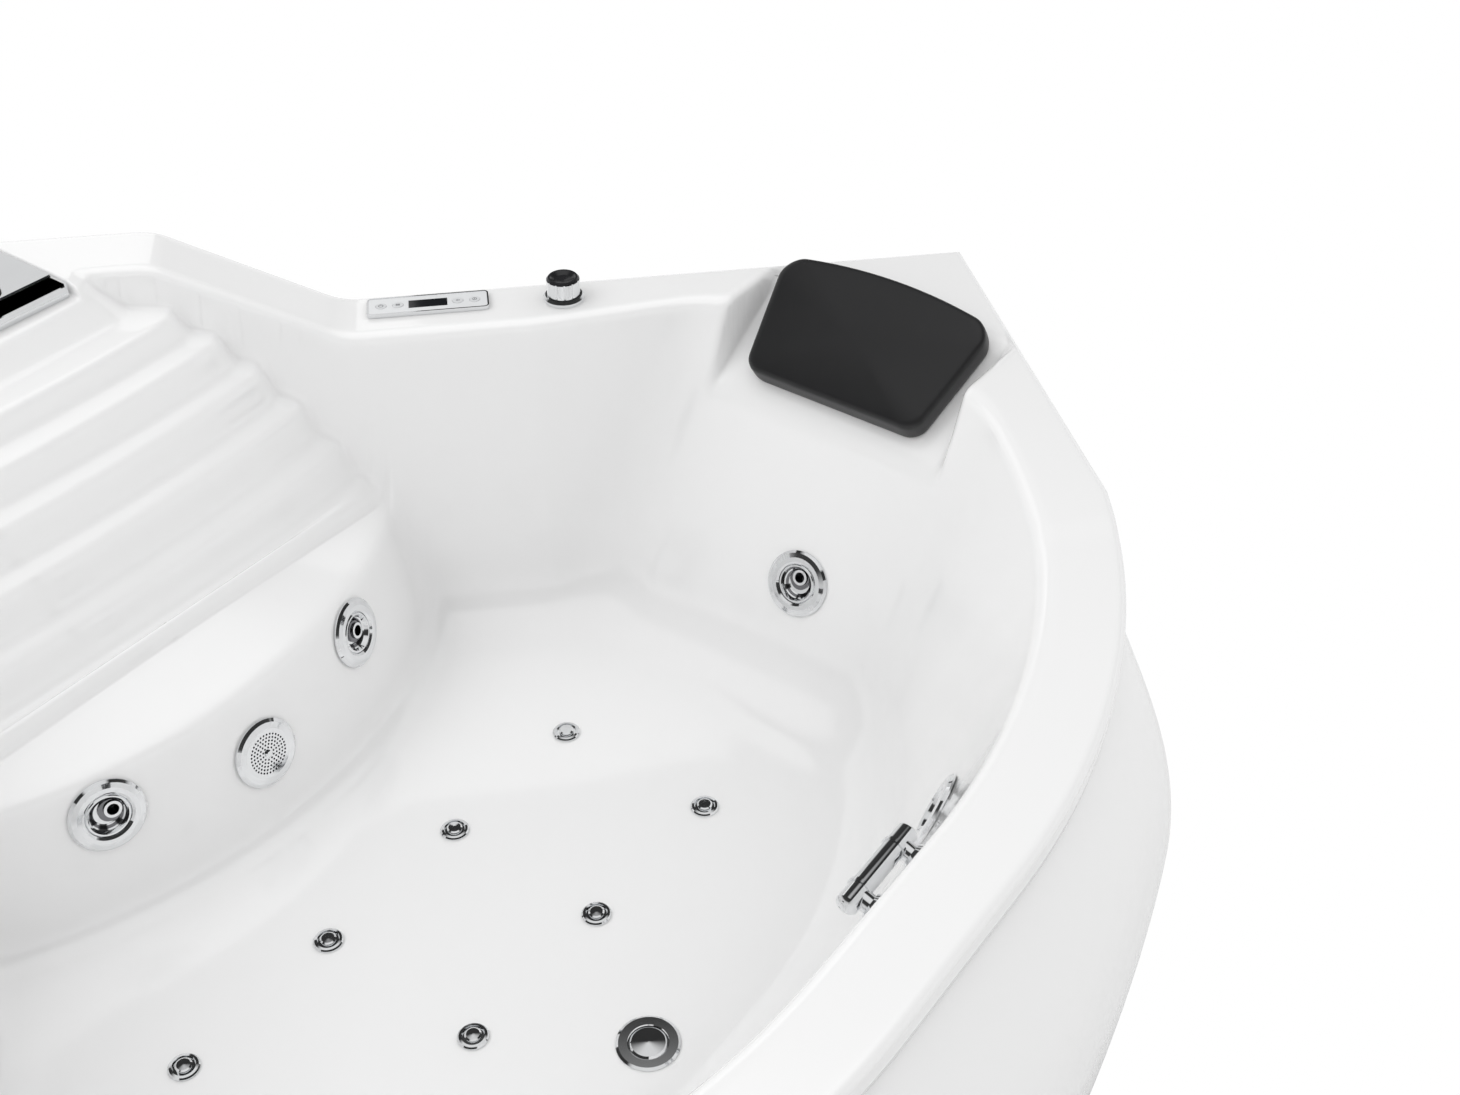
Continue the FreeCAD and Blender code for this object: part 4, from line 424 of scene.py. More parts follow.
def shell_object():
    """The shell as one thin sheet: the basin and rim, the rolled edge and the skirt below it."""
    angles, reach, u, a, z = shell_rows()
    across = np.sin(angles)[:, None]
    along = -np.cos(angles)[:, None]
    turns = np.radians(np.array([12.0, 30.0, 48.0, 66.0, 80.0, 90.0]))[None, :]
    edge = top_surface(u[:, -1], a[:, -1])[:, None]
    roll_r = reach[:, None] - ROLL_REACH * (1.0 - np.sin(turns))
    roll_z = edge - ROLL * (1.0 - np.cos(turns))
    drop = np.linspace(0.25, 1.0, 4)[None, :]
    skirt_r = np.repeat(reach[:, None], 4, axis=1)
    skirt_z = (edge - ROLL) + drop * (-SKIRT - (edge - ROLL))
    outer_r = np.concatenate([roll_r, skirt_r], axis=1)
    outer_z = np.concatenate([roll_z, skirt_z], axis=1)
    u = np.concatenate([u, POLE[0] + across * outer_r], axis=1)
    a = np.concatenate([a, POLE[1] + along * outer_r], axis=1)
    z = np.concatenate([z, outer_z], axis=1)
    right = to_frame(u, a, z + RIM)
    left = right[1:-1][::-1].copy()
    left[:, :, 0] *= -1.0
    top = np.concatenate([right, left], axis=0)
    rays, rings = top.shape[:2]
    normal = normals_of(top)
    under = top - normal * (SHEET / 1000.0)
    inward = top[:, :, :2] - np.array([0.0, (TUB_CENTRE - POLE[1]) / 1000.0])
    inward /= np.maximum(np.linalg.norm(inward, axis=2, keepdims=True), 1e-9)
    under[:, RINGS:, :2] = top[:, RINGS:, :2] - inward[:, RINGS:] * (SKIRT_SHEET / 1000.0)
    under[:, RINGS:, 2] = np.minimum(top[:, RINGS:, 2], under[:, RINGS - 1:RINGS, 2])
    under[:, -1, 2] = top[:, -1, 2]
    points = np.concatenate([top.reshape(-1, 3), under.reshape(-1, 3)])
    count = rays * rings
    faces = grid_faces(rays, rings, True)
    faces += [(d + count, c + count, b + count, e + count) for e, b, c, d in faces]
    for i in range(rays):
        first = i * rings + rings - 1
        second = (i + 1) % rays * rings + rings - 1
        faces.append((first, second, count + second, count + first))
    faces = open_holes(points, faces)
    shell = mesh_object("bath_shell_surface", points, faces)
    clean(shell)
    return shell


def clean(obj):
    """Merges the points at the pole and drops what belongs to no face."""
    work = bmesh.new()
    work.from_mesh(obj.data)
    bmesh.ops.remove_doubles(work, verts=work.verts, dist=0.00002)
    bmesh.ops.dissolve_degenerate(work, dist=0.00001, edges=work.edges)
    loose = [v for v in work.verts if not v.link_faces]
    bmesh.ops.delete(work, geom=loose, context="VERTS")
    work.to_mesh(obj.data)
    work.free()
    obj.data.polygons.foreach_set("use_smooth", [True] * len(obj.data.polygons))


# Round openings through the shell: radii, and how far to either side they cut, in metres.
JET_HOLE = 0.034
AIR_JET_HOLE = 0.0125
DRAIN_HOLE = 0.0285
SPOUT_HOLE = 0.018
HOLE_REACH = 0.03


def holes():
    """Middle, axis and radius of every round opening through the shell, in metres."""
    openings = []
    for joint in frame["joints"]:
        if joint["name"].startswith("jet_nozzle"):
            openings.append((np.array(joint["pos_m"]), np.array(joint["axis"]), JET_HOLE))
    lean = math.radians(SEAT_LEAN)
    outward = np.array([0.0, -math.cos(lean), math.sin(lean)])
    upright = np.array([0.0, 0.0, 1.0])
    openings.append((to_frame(0.0, SEAT_ALONG, RIM - SEAT_DROP), outward, JET_HOLE))
    for row in AIR_JET_ROWS:
        for column in AIR_JET_COLUMNS:
            openings.append((to_frame(column, row, RIM - DEPTH), upright, AIR_JET_HOLE))
    openings.append((to_frame(0.0, DRAIN_ALONG, RIM - DEPTH), upright, DRAIN_HOLE))
    openings.append((to_frame(0.0, SPOUT_ALONG, RIM + DECK_RISE - POCKET_DEPTH), upright, SPOUT_HOLE))
    return openings


def open_holes(points, faces):
    """The faces that are left when those inside the openings go."""
    corners = np.array(faces)
    middles = points[corners].mean(axis=1)
    keep = np.ones(len(faces), dtype=bool)
    for centre, axis, radius in holes():
        offset = middles - centre
        depth = offset @ axis
        spread = np.linalg.norm(offset - depth[:, None] * axis, axis=1)
        keep &= ~((np.abs(depth) < HOLE_REACH) & (spread < radius))
    return [face for face, kept in zip(faces, keep) if kept]


# Apron: the curved front and the two flat end returns, with a rolled top edge.

APRON_SHEET = 5.0
APRON_FOOT = 20.0
APRON_TOP = 548.0
RETURN_TOP = 524.0
RETURN_GAP = 12.0
APRON_COLUMNS = 90
APRON_ROWS = 64
TUCK = 22.0

# The belly's plan is a wide arc that runs into a tight one; its depths are below the rim.
WIDE = 1530.0
TIGHT = 289.0
BELLY_START = 25.0
BELLY_DEPTH = 280.0
BELLY_FALL = 260.0
EDGE_RUN = (RIM_VERTEX[0] - RIM_END[0], RIM_VERTEX[1] - RIM_END[1])
EDGE_REACH = math.hypot(*EDGE_RUN)
EDGE_IN = (-EDGE_RUN[1] / EDGE_REACH, EDGE_RUN[0] / EDGE_REACH)
APRON_END = (RIM_VERTEX[0] + TUCK * EDGE_IN[0], RIM_VERTEX[1] + TUCK * EDGE_IN[1])


def spaced(points, count):
    """Points at equal steps along a fine line."""
    steps = np.concatenate([[0.0], np.cumsum(np.linalg.norm(np.diff(points, axis=0), axis=1))])
    picks = np.linspace(0.0, steps[-1], count)
    return np.stack([np.interp(picks, steps, points[:, k]) for k in range(2)], axis=1)


def rim_curve(count):
    """Plan of the apron's top, from the middle to the end of the front arc."""
    radius = math.hypot(APRON_END[0] - FRONT_SIDE, APRON_END[1] - FRONT_ALONG)
    turn = math.atan2(APRON_END[0] - FRONT_SIDE, APRON_END[1] - FRONT_ALONG)
    angles = np.linspace(0.0, turn, 400)
    arc = np.stack([FRONT_SIDE + radius * np.sin(angles), FRONT_ALONG + radius * np.cos(angles)], axis=1)
    return spaced(np.concatenate([[(0.0, FRONT_ALONG + radius)], arc]), count)


def belly_curve(count):
    """Plan of the apron where it stands out furthest, with the same ends."""
    centre = FRONT_EDGE + APRON_BELLY - WIDE
    reach = math.hypot(APRON_END[0], APRON_END[1] - centre)
    spread = (reach ** 2 + (WIDE - TIGHT) ** 2 - TIGHT ** 2) / (2.0 * reach)
    off = math.sqrt((WIDE - TIGHT) ** 2 - spread ** 2)
    ray = (APRON_END[0] / reach, (APRON_END[1] - centre) / reach)
    tight = (ray[0] * spread - ray[1] * off, centre + ray[1] * spread + ray[0] * off)
    join = math.atan2(tight[0], tight[1] - centre)
    angles = np.linspace(0.0, join, 200)
    wide_arc = np.stack([WIDE * np.sin(angles), centre + WIDE * np.cos(angles)], axis=1)
    last = math.atan2(APRON_END[0] - tight[0], APRON_END[1] - tight[1])
    angles = np.linspace(join, last, 200)[1:]
    tight_arc = np.stack([tight[0] + TIGHT * np.sin(angles), tight[1] + TIGHT * np.cos(angles)], axis=1)
    return spaced(np.concatenate([wide_arc, tight_arc]), count)


def bulge_at(depth):
    """Share of the belly's plan at a depth below the rim."""
    rising = np.sin(np.pi / 2.0 * np.clip((depth - BELLY_START) / (BELLY_DEPTH - BELLY_START), 0.0, 1.0))
    falling = 0.24 * np.clip((depth - BELLY_DEPTH) / BELLY_FALL, 0.0, None) ** 1.6
    return rising - falling


def apron_object():
    """The apron as one sheet from return to return, its edges a little rounded."""
    rows = APRON_ROWS
    rim = rim_curve(APRON_COLUMNS)
    belly = belly_curve(APRON_COLUMNS)
    heights = np.linspace(APRON_FOOT, APRON_TOP, rows)
    share = bulge_at(RIM - heights)[:, None, None]
    front = rim[None] * (1.0 - share) + belly[None] * share
    back_u = RIM_END[0] + TUCK * EDGE_IN[0] + RETURN_GAP * EDGE_RUN[0] / EDGE_REACH
    back_a = RIM_END[1] + TUCK * EDGE_IN[1] + RETURN_GAP * EDGE_RUN[1] / EDGE_REACH
    steps = np.linspace(0.0, 1.0, 24)[1:, None]
    end = np.array(APRON_END) * (1.0 - steps) + np.array([back_u, back_a]) * steps
    half = np.concatenate([front, np.repeat(end[None], rows, axis=0)], axis=1)
    line = np.concatenate([half[:, :0:-1] * np.array([-1.0, 1.0]), half], axis=1)
    tangent = np.gradient(line, axis=1)
    tangent /= np.linalg.norm(tangent, axis=2, keepdims=True)
    inward = np.stack([tangent[:, :, 1], -tangent[:, :, 0]], axis=2)
    depth = np.minimum(APRON_TOP - heights, heights - APRON_FOOT)
    ease = 1.2 * np.clip(1.0 - depth / 3.0, 0.0, 1.0)[:, None, None]
    outer = line + inward * ease
    inner = line + inward * (APRON_SHEET - ease)
    columns = line.shape[1]
    level = np.repeat(heights[:, None], columns, axis=1)
    on_return = np.where(np.abs(np.arange(columns) - columns // 2) >= APRON_COLUMNS, 1.0, 0.0)
    share = ((heights - APRON_FOOT) / (APRON_TOP - APRON_FOOT))[:, None]
    level = level - (APRON_TOP - RETURN_TOP) * on_return[None] * share
    outer = to_frame(outer[:, :, 0], outer[:, :, 1], level)
    inner = to_frame(inner[:, :, 0], inner[:, :, 1], level)
    count = rows * columns
    points = np.concatenate([outer.reshape(-1, 3), inner.reshape(-1, 3)])
    faces = grid_faces(rows, columns, False)
    faces += [(d + count, c + count, b + count, e + count) for e, b, c, d in faces]
    for k in range(columns - 1):
        faces.append((k + 1, k, count + k, count + k + 1))
        top = (rows - 1) * columns + k
        faces.append((top, top + 1, count + top + 1, count + top))
    for i in range(rows - 1):
        a, b = i * columns, (i + 1) * columns
        faces.append((a, b, count + b, count + a))
        a, b = a + columns - 1, b + columns - 1
        faces.append((b, a, count + a, count + b))
    return mesh_object("front_apron_surface", points, faces)


# Pillows: a moulded cushion, its face crowned and its skin slightly drawn.
# Half sizes of the outline, then the place and tilt of its middle in the recess.

PILLOW_TOP = 161.5
PILLOW_FOOT = 131.0
PILLOW_HALF = 84.0
PILLOW_CORNER = 26.0
PILLOW_ARCH = 18.0
PILLOW_SIDE = 871.0
PILLOW_REACH = 85.0
PILLOW_TILT = 34.5
PILLOW_GAP = 0.3
PILLOW_EDGE = 35.6
PILLOW_CROWN = 8.6


def rounded_outline(top, bottom, half, corner, arch, count):
    """A rounded trapezium as a closed line of evenly spaced points."""
    corners = [(-bottom, -half), (bottom, -half), (top, half), (-top, half)]
    line = []
    for index, point in enumerate(corners):
        point = np.array(point)
        back = np.array(corners[index - 1]) - point
        ahead = np.array(corners[(index + 1) % 4]) - point
        back = back / np.linalg.norm(back)
        ahead = ahead / np.linalg.norm(ahead)
        turn = math.pi - math.acos(float(back @ ahead))
        cut = corner * math.tan(turn / 2.0)
        middle = point + (back + ahead) / np.linalg.norm(back + ahead) * math.hypot(corner, cut)
        first = math.atan2(*(point + back * cut - middle)[::-1])
        for step in range(25):
            angle = first + turn * step / 24.0
            line.append(middle + corner * np.array([math.cos(angle), math.sin(angle)]))
    line = np.array(line + [line[0]])
    steps = np.concatenate([[0.0], np.cumsum(np.linalg.norm(np.diff(line, axis=0), axis=1))])
    picks = np.linspace(0.0, steps[-1], count, endpoint=False)
    line = np.stack([np.interp(picks, steps, line[:, k]) for k in range(2)], axis=1)
    crest = np.clip((line[:, 1] - (half - corner)) / corner, 0.0, 1.0)
    line[:, 1] += arch * crest * np.clip(1.0 - (line[:, 0] / top) ** 2, 0.0, 1.0)
    return line


def pillow_object(side):
    """One pillow, built flat as rings of points and then laid in the recess on its side."""
    count = 220
    outline = rounded_outline(PILLOW_TOP, PILLOW_FOOT, PILLOW_HALF, PILLOW_CORNER, PILLOW_ARCH, count)
    # Inset from the outline and level over the recess, up the side and then over the crown.
    stations = [(7.0, 0.0), (2.5, 1.0), (0.8, 4.0), (0.2, 9.0), (0.0, 15.0), (0.0, 21.0), (0.0, 27.0),
                (0.3, 31.0), (1.2, 33.6), (3.2, PILLOW_EDGE)]
    for step in range(1, 26):
        share = step / 25.0
        crown = PILLOW_CROWN * math.sin(math.pi / 2.0 * share) ** 0.8
        stations.append((3.2 + 79.5 * share, PILLOW_EDGE + crown))
    rings = []
    rng = np.random.default_rng(5)
    phase = rng.uniform(0.0, 6.28, 2)
    for inset, level in stations:
        ring = outline * (1.0 - inset / PILLOW_HALF)
        swell = 0.25 * np.sin(ring[:, 0] / 31.0 + phase[0]) + 0.2 * np.sin(ring[:, 1] / 23.0 + phase[1])
        height = level + (swell if level > 34.0 else 0.0)
        height = np.broadcast_to(height, ring[:, 0].shape)
        rings.append(np.stack([ring[:, 0], ring[:, 1], height], axis=1))
    grid = np.array(rings)
    rows = len(rings)
    points = list(grid.reshape(-1, 3))
    faces = []
    for i in range(rows - 1):
        for k in range(count):
            n = (k + 1) % count
            faces.append((i * count + k, i * count + n, (i + 1) * count + n, (i + 1) * count + k))
    base = len(points)
    points.append(np.array([0.0, 0.0, 0.0]))
    points.append(np.array([0.0, grid[-1, :, 1].mean(), grid[-1, :, 2].mean() + 0.1]))
    last = (rows - 1) * count
    for k in range(count):
        n = (k + 1) % count
        faces.append((n, k, base))
        faces.append((last + k, last + n, base + 1))
    tilt = math.radians(PILLOW_TILT)
    run, rise = math.cos(tilt), math.sin(tilt)
    middle = PILLOW_SIDE - PILLOW_REACH * run
    level = RIM - SLOPE_DROP - PILLOW_REACH * rise
    normal = np.array([-side * rise, 0.0, run])
    climb = np.array([side * run, 0.0, rise])
    across = np.cross(climb, normal)
    origin = to_frame(side * middle, (RECESS_START + RECESS_END) / 2.0, level) * 1000.0
    origin = origin + normal * PILLOW_GAP
    placed = [(origin + p[0] * across + p[1] * climb + p[2] * normal) / 1000.0 for p in points]
    name = "pillow_right_cushion" if side > 0 else "pillow_left_cushion"
    return mesh_object(name, placed, faces)


# Finishes. Relief distances are in metres.

FINE_RELIEF = 0.0006
SKIN_RELIEF = 0.00012


def material(name, color, roughness, metallic=0.0, bump=0.0, scale=40.0, spread=0.04, coat=0.0, tint=0.02):
    """A finish with slight changes of tone and gloss over its surface."""
    mat = bpy.data.materials.new(name)
    mat.use_nodes = True
    nodes = mat.node_tree.nodes
    links = mat.node_tree.links
    shader = nodes["Principled BSDF"]
    shader.inputs["Metallic"].default_value = metallic
    shader.inputs["Coat Weight"].default_value = coat
    shader.inputs["Coat Roughness"].default_value = 0.04
    place = nodes.new("ShaderNodeTexCoord")
    noise = nodes.new("ShaderNodeTexNoise")
    noise.inputs["Scale"].default_value = scale
    noise.inputs["Detail"].default_value = 5.0
    links.new(place.outputs["Object"], noise.inputs["Vector"])
    tone = nodes.new("ShaderNodeMapRange")
    tone.inputs["To Min"].default_value = max(roughness - spread, 0.0)
    tone.inputs["To Max"].default_value = roughness + spread
    links.new(noise.outputs["Fac"], tone.inputs["Value"])
    links.new(tone.outputs["Result"], shader.inputs["Roughness"])
    mix = nodes.new("ShaderNodeMix")
    mix.data_type = "RGBA"
    mix.inputs["A"].default_value = (*[max(c * (1.0 - tint), 0.0) for c in color], 1.0)
    mix.inputs["B"].default_value = (*[min(c * (1.0 + tint), 1.0) for c in color], 1.0)
    links.new(noise.outputs["Fac"], mix.inputs["Factor"])
    links.new(mix.outputs["Result"], shader.inputs["Base Color"])
    if bump > 0.0:
        fine = nodes.new("ShaderNodeTexNoise")
        fine.inputs["Scale"].default_value = scale * 12.0
        fine.inputs["Detail"].default_value = 3.0
        links.new(place.outputs["Object"], fine.inputs["Vector"])
        relief = nodes.new("ShaderNodeBump")
        relief.inputs["Strength"].default_value = bump
        relief.inputs["Distance"].default_value = FINE_RELIEF
        links.new(fine.outputs["Fac"], relief.inputs["Height"])
        links.new(relief.outputs["Normal"], shader.inputs["Normal"])
    return mat


def grained(name, color, roughness, cell, depth):
    """A skin with a fine cell grain, as moulded leather-like foam has."""
    mat = material(name, color, roughness, scale=24.0, spread=0.05, tint=0.12)
    nodes = mat.node_tree.nodes
    links = mat.node_tree.links
    place = nodes["Texture Coordinate"]
    cells = nodes.new("ShaderNodeTexVoronoi")
    cells.feature = "DISTANCE_TO_EDGE"
    cells.inputs["Scale"].default_value = cell
    links.new(place.outputs["Object"], cells.inputs["Vector"])
    relief = nodes.new("ShaderNodeBump")
    relief.inputs["Strength"].default_value = 0.45
    relief.inputs["Distance"].default_value = depth
    links.new(cells.outputs["Distance"], relief.inputs["Height"])
    links.new(relief.outputs["Normal"], nodes["Principled BSDF"].inputs["Normal"])
    return mat


def wooden(name):
    """Plywood, its noise stretched into a grain."""
    mat = material(name, (0.60, 0.44, 0.27), 0.6, scale=9.0, spread=0.08, tint=0.2, bump=0.2)
    nodes = mat.node_tree.nodes
    grain = nodes["Noise Texture"]
    stretch = nodes.new("ShaderNodeMapping")
    stretch.inputs["Scale"].default_value = (1.0, 14.0, 1.0)
    mat.node_tree.links.new(nodes["Texture Coordinate"].outputs["Object"], stretch.inputs["Vector"])
    mat.node_tree.links.new(stretch.outputs["Vector"], grain.inputs["Vector"])
    return mat


MATERIALS = {
    "acrylic": material("white_acrylic", (0.87, 0.87, 0.87), 0.13,
                        scale=3.0, spread=0.02, coat=0.6, tint=0.006, bump=0.012),
    "galvanised": material("galvanised_steel", (0.52, 0.53, 0.54), 0.42,
                           metallic=0.9, scale=60.0, spread=0.12, tint=0.12, bump=0.1),
    "board": wooden("plywood"),
    "pillow": grained("black_foam_skin", (0.012, 0.012, 0.013), 0.42, 900.0, SKIN_RELIEF),
    "chrome": material("chrome", (0.82, 0.83, 0.84), 0.06,
                       metallic=1.0, scale=30.0, spread=0.025, tint=0.02),
    "pipe_plastic": material("pale_pipe_plastic", (0.74, 0.75, 0.76), 0.38, scale=30.0, bump=0.06),
    "steel": material("zinc_steel", (0.60, 0.60, 0.61), 0.3,
                      metallic=1.0, scale=80.0, spread=0.1, bump=0.06),
    "display": material("display_glass", (0.008, 0.009, 0.011), 0.07,
                        scale=20.0, spread=0.02, tint=0.1),
    "black_plastic": material("black_plastic", (0.022, 0.022, 0.024), 0.45,
                              scale=50.0, bump=0.12, tint=0.1),
    "brass_fitting": material("brass", (0.70, 0.52, 0.22), 0.28,
                              metallic=1.0, scale=60.0, spread=0.08, bump=0.05),
    "rotor_plastic": material("grey_plastic", (0.42, 0.42, 0.41), 0.5,
                              scale=50.0, bump=0.1, tint=0.06),
    "motor_paint": material("blue_paint", (0.05, 0.09, 0.18), 0.4,
                            scale=50.0, bump=0.12, tint=0.08),
    "box_plastic": material("box_grey", (0.46, 0.48, 0.49), 0.45,
                            scale=50.0, bump=0.1, tint=0.04),
    "button_rubber": material("button_grey", (0.60, 0.61, 0.62), 0.5,
                              scale=70.0, bump=0.15, tint=0.04),
    "panel_face": material("panel_face", (0.70, 0.71, 0.72), 0.22,
                           scale=30.0, spread=0.03, tint=0.01, bump=0.02),
    "mark_grey": material("mark_grey", (0.13, 0.13, 0.14), 0.5, scale=60.0, tint=0.05),
    # A darker copy of chrome: painted shade and painted dark reflection for the nozzles' dishes.
    "dark_chrome": material("dark_chrome", (0.20, 0.20, 0.21), 0.12,
                            metallic=1.0, scale=30.0, spread=0.03),
    "knob_black": material("knob_black", (0.016, 0.016, 0.018), 0.22,
                           scale=60.0, spread=0.05, tint=0.1, bump=0.03),
}


def paint(obj, mat):
    obj.data.materials.clear()
    obj.data.materials.append(mat)


def slot_of(node):
    """The material slot that the record names for a node."""
    for entry in frame["record"]["subparts"]:
        if entry["node"] == node:
            return entry["material_slot"]


def cap_in(obj, mat, middle, radius, level):
    """Gives the faces round an upright axis and over a level a second finish."""
    obj.data.materials.append(mat)
    place = obj.matrix_world
    for face in obj.data.polygons:
        spot = place @ face.center
        if spot.z > level and math.hypot(spot.x - middle[0], spot.y - middle[1]) < radius:
            face.material_index = 1


# A nozzle's dish, by radius and by level over the joint's point, in millimetres. Three rounds
# stand in it; the floor round them and the middle one get painted shade, and all steep faces a painted dark
# reflection.
DISH_RADIUS = 20.5
DISH_BRIM = -0.3
DISH_FLOOR = -6.2
MIDDLE_LEVELS = (-4.2, -1.2)
STEEP = 0.7


def paint_dish_shade(obj, mat, middle, axis):
    """Paints shade and dark reflection into a nozzle's dish: its sunk and steep faces get a second, darker chrome.
    """
    obj.data.materials.append(mat)
    place = obj.matrix_world
    turned = place.to_3x3().normalized()
    for face in obj.data.polygons:
        offset = place @ face.center - middle
        level = offset.dot(axis) * 1000.0
        spread = (offset - offset.dot(axis) * axis).length * 1000.0
        upright = abs((turned @ face.normal).dot(axis)) < STEEP
        sunk = level < DISH_FLOOR or MIDDLE_LEVELS[0] < level < MIDDLE_LEVELS[1]
        if spread < DISH_RADIUS and level < DISH_BRIM and (upright or sunk):
            face.material_index = 1


for node, obj in frame["nodes"].items():
    paint(obj, MATERIALS[slot_of(node)])

# Painted shade and painted dark reflection in every jet nozzle's dish.
for joint in frame["joints"]:
    if joint["name"].startswith("jet_nozzle"):
        nozzle = frame["nodes"][joint["name"].replace("_turn", "")]
        axis = Vector(joint["axis"]).normalized()
        paint_dish_shade(nozzle, MATERIALS["dark_chrome"], Vector(joint["pos_m"]), axis)

# The air knob's top is black and its side is chrome; radius and level in metres.
KNOB = to_frame(*plan_from_wall(925.0, 48.0), 0.0)
KNOB_CAP_RADIUS = 0.030
KNOB_CAP_LEVEL = (RIM + 26.0) / 1000.0
cap_in(frame["nodes"]["air_control_knob"], MATERIALS["knob_black"], KNOB, KNOB_CAP_RADIUS, KNOB_CAP_LEVEL)

shell = shell_object()
paint(shell, MATERIALS["acrylic"])
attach(shell, "tub")
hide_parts("bath_shell")

apron = apron_object()
paint(apron, MATERIALS["acrylic"])
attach(apron, "tub")
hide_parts("front_apron")

for side, node in ((1.0, "pillow_right"), (-1.0, "pillow_left")):
    cushion = pillow_object(side)
    paint(cushion, MATERIALS["pillow"])
    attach(cushion, "tub")
    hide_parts(node)


# Control panel: a pale face with a bright border, and a plain mark on every button.

PANEL_U, PANEL_A = plan_from_wall(747.0, 40.0)
PANEL_TOP = RIM + 5.3
BORDER_OUTER = (79.3, 21.3, 6.3)
BORDER_INNER = (77.4, 19.4, 4.4)
BORDER_LOW = RIM + 0.4
BORDER_HIGH = PANEL_TOP + 0.5


def on_panel(x, y, z):
    """A point of the panel, its own X along the wall, as metres in the frame."""
    diagonal = 1.0 / ROOT2
    u = PANEL_U + diagonal * (x + y)
    a = PANEL_A + diagonal * (x - y)
    return to_frame(np.float64(u), np.float64(a), np.float64(z))


def rounded_bar(half_length, half_width, corner, count):
    """A closed line round a rectangle with rounded corners."""
    line = []
    for quarter, (right, up) in enumerate(((1.0, -1.0), (1.0, 1.0), (-1.0, 1.0), (-1.0, -1.0))):
        for step in range(count + 1):
            angle = math.pi / 2.0 * (quarter - 1.0 + step / count)
            line.append((right * (half_length - corner) + corner * math.cos(angle),
                         up * (half_width - corner) + corner * math.sin(angle)))
    return line


def ring_on_panel(name, outer, inner, low, high, centre=0.0):
    """A flat ring between two closed lines of equal length."""
    count = len(outer)
    points = []
    for line, level in ((outer, low), (outer, high), (inner, high), (inner, low)):
        points += [on_panel(centre + x, y, level) for x, y in line]
    faces = []
    for band in range(4):
        following = (band + 1) % 4
        for k in range(count):
            n = (k + 1) % count
            faces.append((band * count + k, band * count + n, following * count + n, following * count + k))
    return mesh_object(name, points, faces, False)


def slab_on_panel(name, line, low, high, centre=0.0):
    """A flat slab inside a closed line."""
    count = len(line)
    points = [on_panel(centre + x, y, level) for level in (low, high) for x, y in line]
    faces = [tuple(range(count - 1, -1, -1)), tuple(range(count, 2 * count))]
    for k in range(count):
        n = (k + 1) % count
        faces.append((k, n, count + n, count + k))
    return mesh_object(name, points, faces, False)


def dress(obj, body, mat):
    """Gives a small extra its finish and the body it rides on."""
    paint(obj, MATERIALS[mat])
    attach(obj, body)


border = ring_on_panel("panel_border", rounded_bar(*BORDER_OUTER, 8), rounded_bar(*BORDER_INNER, 8),
                       BORDER_LOW, BORDER_HIGH)
dress(border, "tub", "chrome")


FULL_TURN = 6.2832


def circle_line(radius, count=28):
    """A closed line round a circle."""
    angles = [FULL_TURN * k / count for k in range(count)]
    return [(radius * math.cos(angle), radius * math.sin(angle)) for angle in angles]


def bar_line(x, y, wide, high):
    """A closed line round a bar, by its middle and its two sizes."""
    return [(x - wide / 2, y - high / 2), (x + wide / 2, y - high / 2),
            (x + wide / 2, y + high / 2), (x - wide / 2, y + high / 2)]


MARK_LOW = PANEL_TOP + 0.62
MARK_HIGH = PANEL_TOP + 0.78
BUTTON_PLACES = (-61.0, -39.0, 39.0, 61.0)
MARKS = {
    1: [("ring", circle_line(3.2), circle_line(2.6)), ("bar", bar_line(0.0, 2.4, 0.7, 3.0), None)],
    2: [("bar", bar_line(0.0, 1.7, 5.4, 0.7), None), ("bar", bar_line(0.0, 0.0, 5.4, 0.7), None),
        ("bar", bar_line(0.0, -1.7, 5.4, 0.7), None)],
    3: [("bar", bar_line(-1.8, 0.0, 0.7, 3.0), None), ("bar", bar_line(0.0, 0.0, 0.7, 4.6), None),
        ("bar", bar_line(1.8, 0.0, 0.7, 3.0), None)],
    4: [("ring", circle_line(3.0), circle_line(2.4)), ("bar", bar_line(0.0, 0.0, 1.4, 1.4), None)],
}
for number, centre in enumerate(BUTTON_PLACES, 1):
    for index, (kind, line, hollow) in enumerate(MARKS[number]):
        name = "button_%d_mark_%d" % (number, index)
        if kind == "ring":
            mark = ring_on_panel(name, line, hollow, MARK_LOW, MARK_HIGH, centre)
        else:
            mark = slab_on_panel(name, line, MARK_LOW, MARK_HIGH, centre)
        dress(mark, "button_body_%d" % number, "mark_grey")


# Studio: a pale floor that reads white, soft lights, and the photograph's camera.

def white_to_camera(mat, strength):
    """Makes a stage material read as even white in the picture, and lights as before."""
    nodes = mat.node_tree.nodes
    links = mat.node_tree.links
    seen = nodes.new("ShaderNodeLightPath")
    glow = nodes.new("ShaderNodeEmission")
    glow.inputs["Color"].default_value = (1.0, 1.0, 1.0, 1.0)
    glow.inputs["Strength"].default_value = strength
    pick = nodes.new("ShaderNodeMixShader")
    links.new(seen.outputs["Is Camera Ray"], pick.inputs["Fac"])
    links.new(nodes["Principled BSDF"].outputs["BSDF"], pick.inputs[1])
    links.new(glow.outputs["Emission"], pick.inputs[2])
    links.new(pick.outputs["Shader"], nodes["Material Output"].inputs["Surface"])


FLOOR_CORNERS = [(-14, -14, 0), (14, -14, 0), (14, 14, 0), (-14, 14, 0)]
floor = mesh_object("studio_floor", FLOOR_CORNERS, [(0, 1, 2, 3)], False)
ground = material("floor_white", (0.86, 0.86, 0.86), 0.7, scale=2.0, tint=0.004)
white_to_camera(ground, 1.0)
paint(floor, ground)

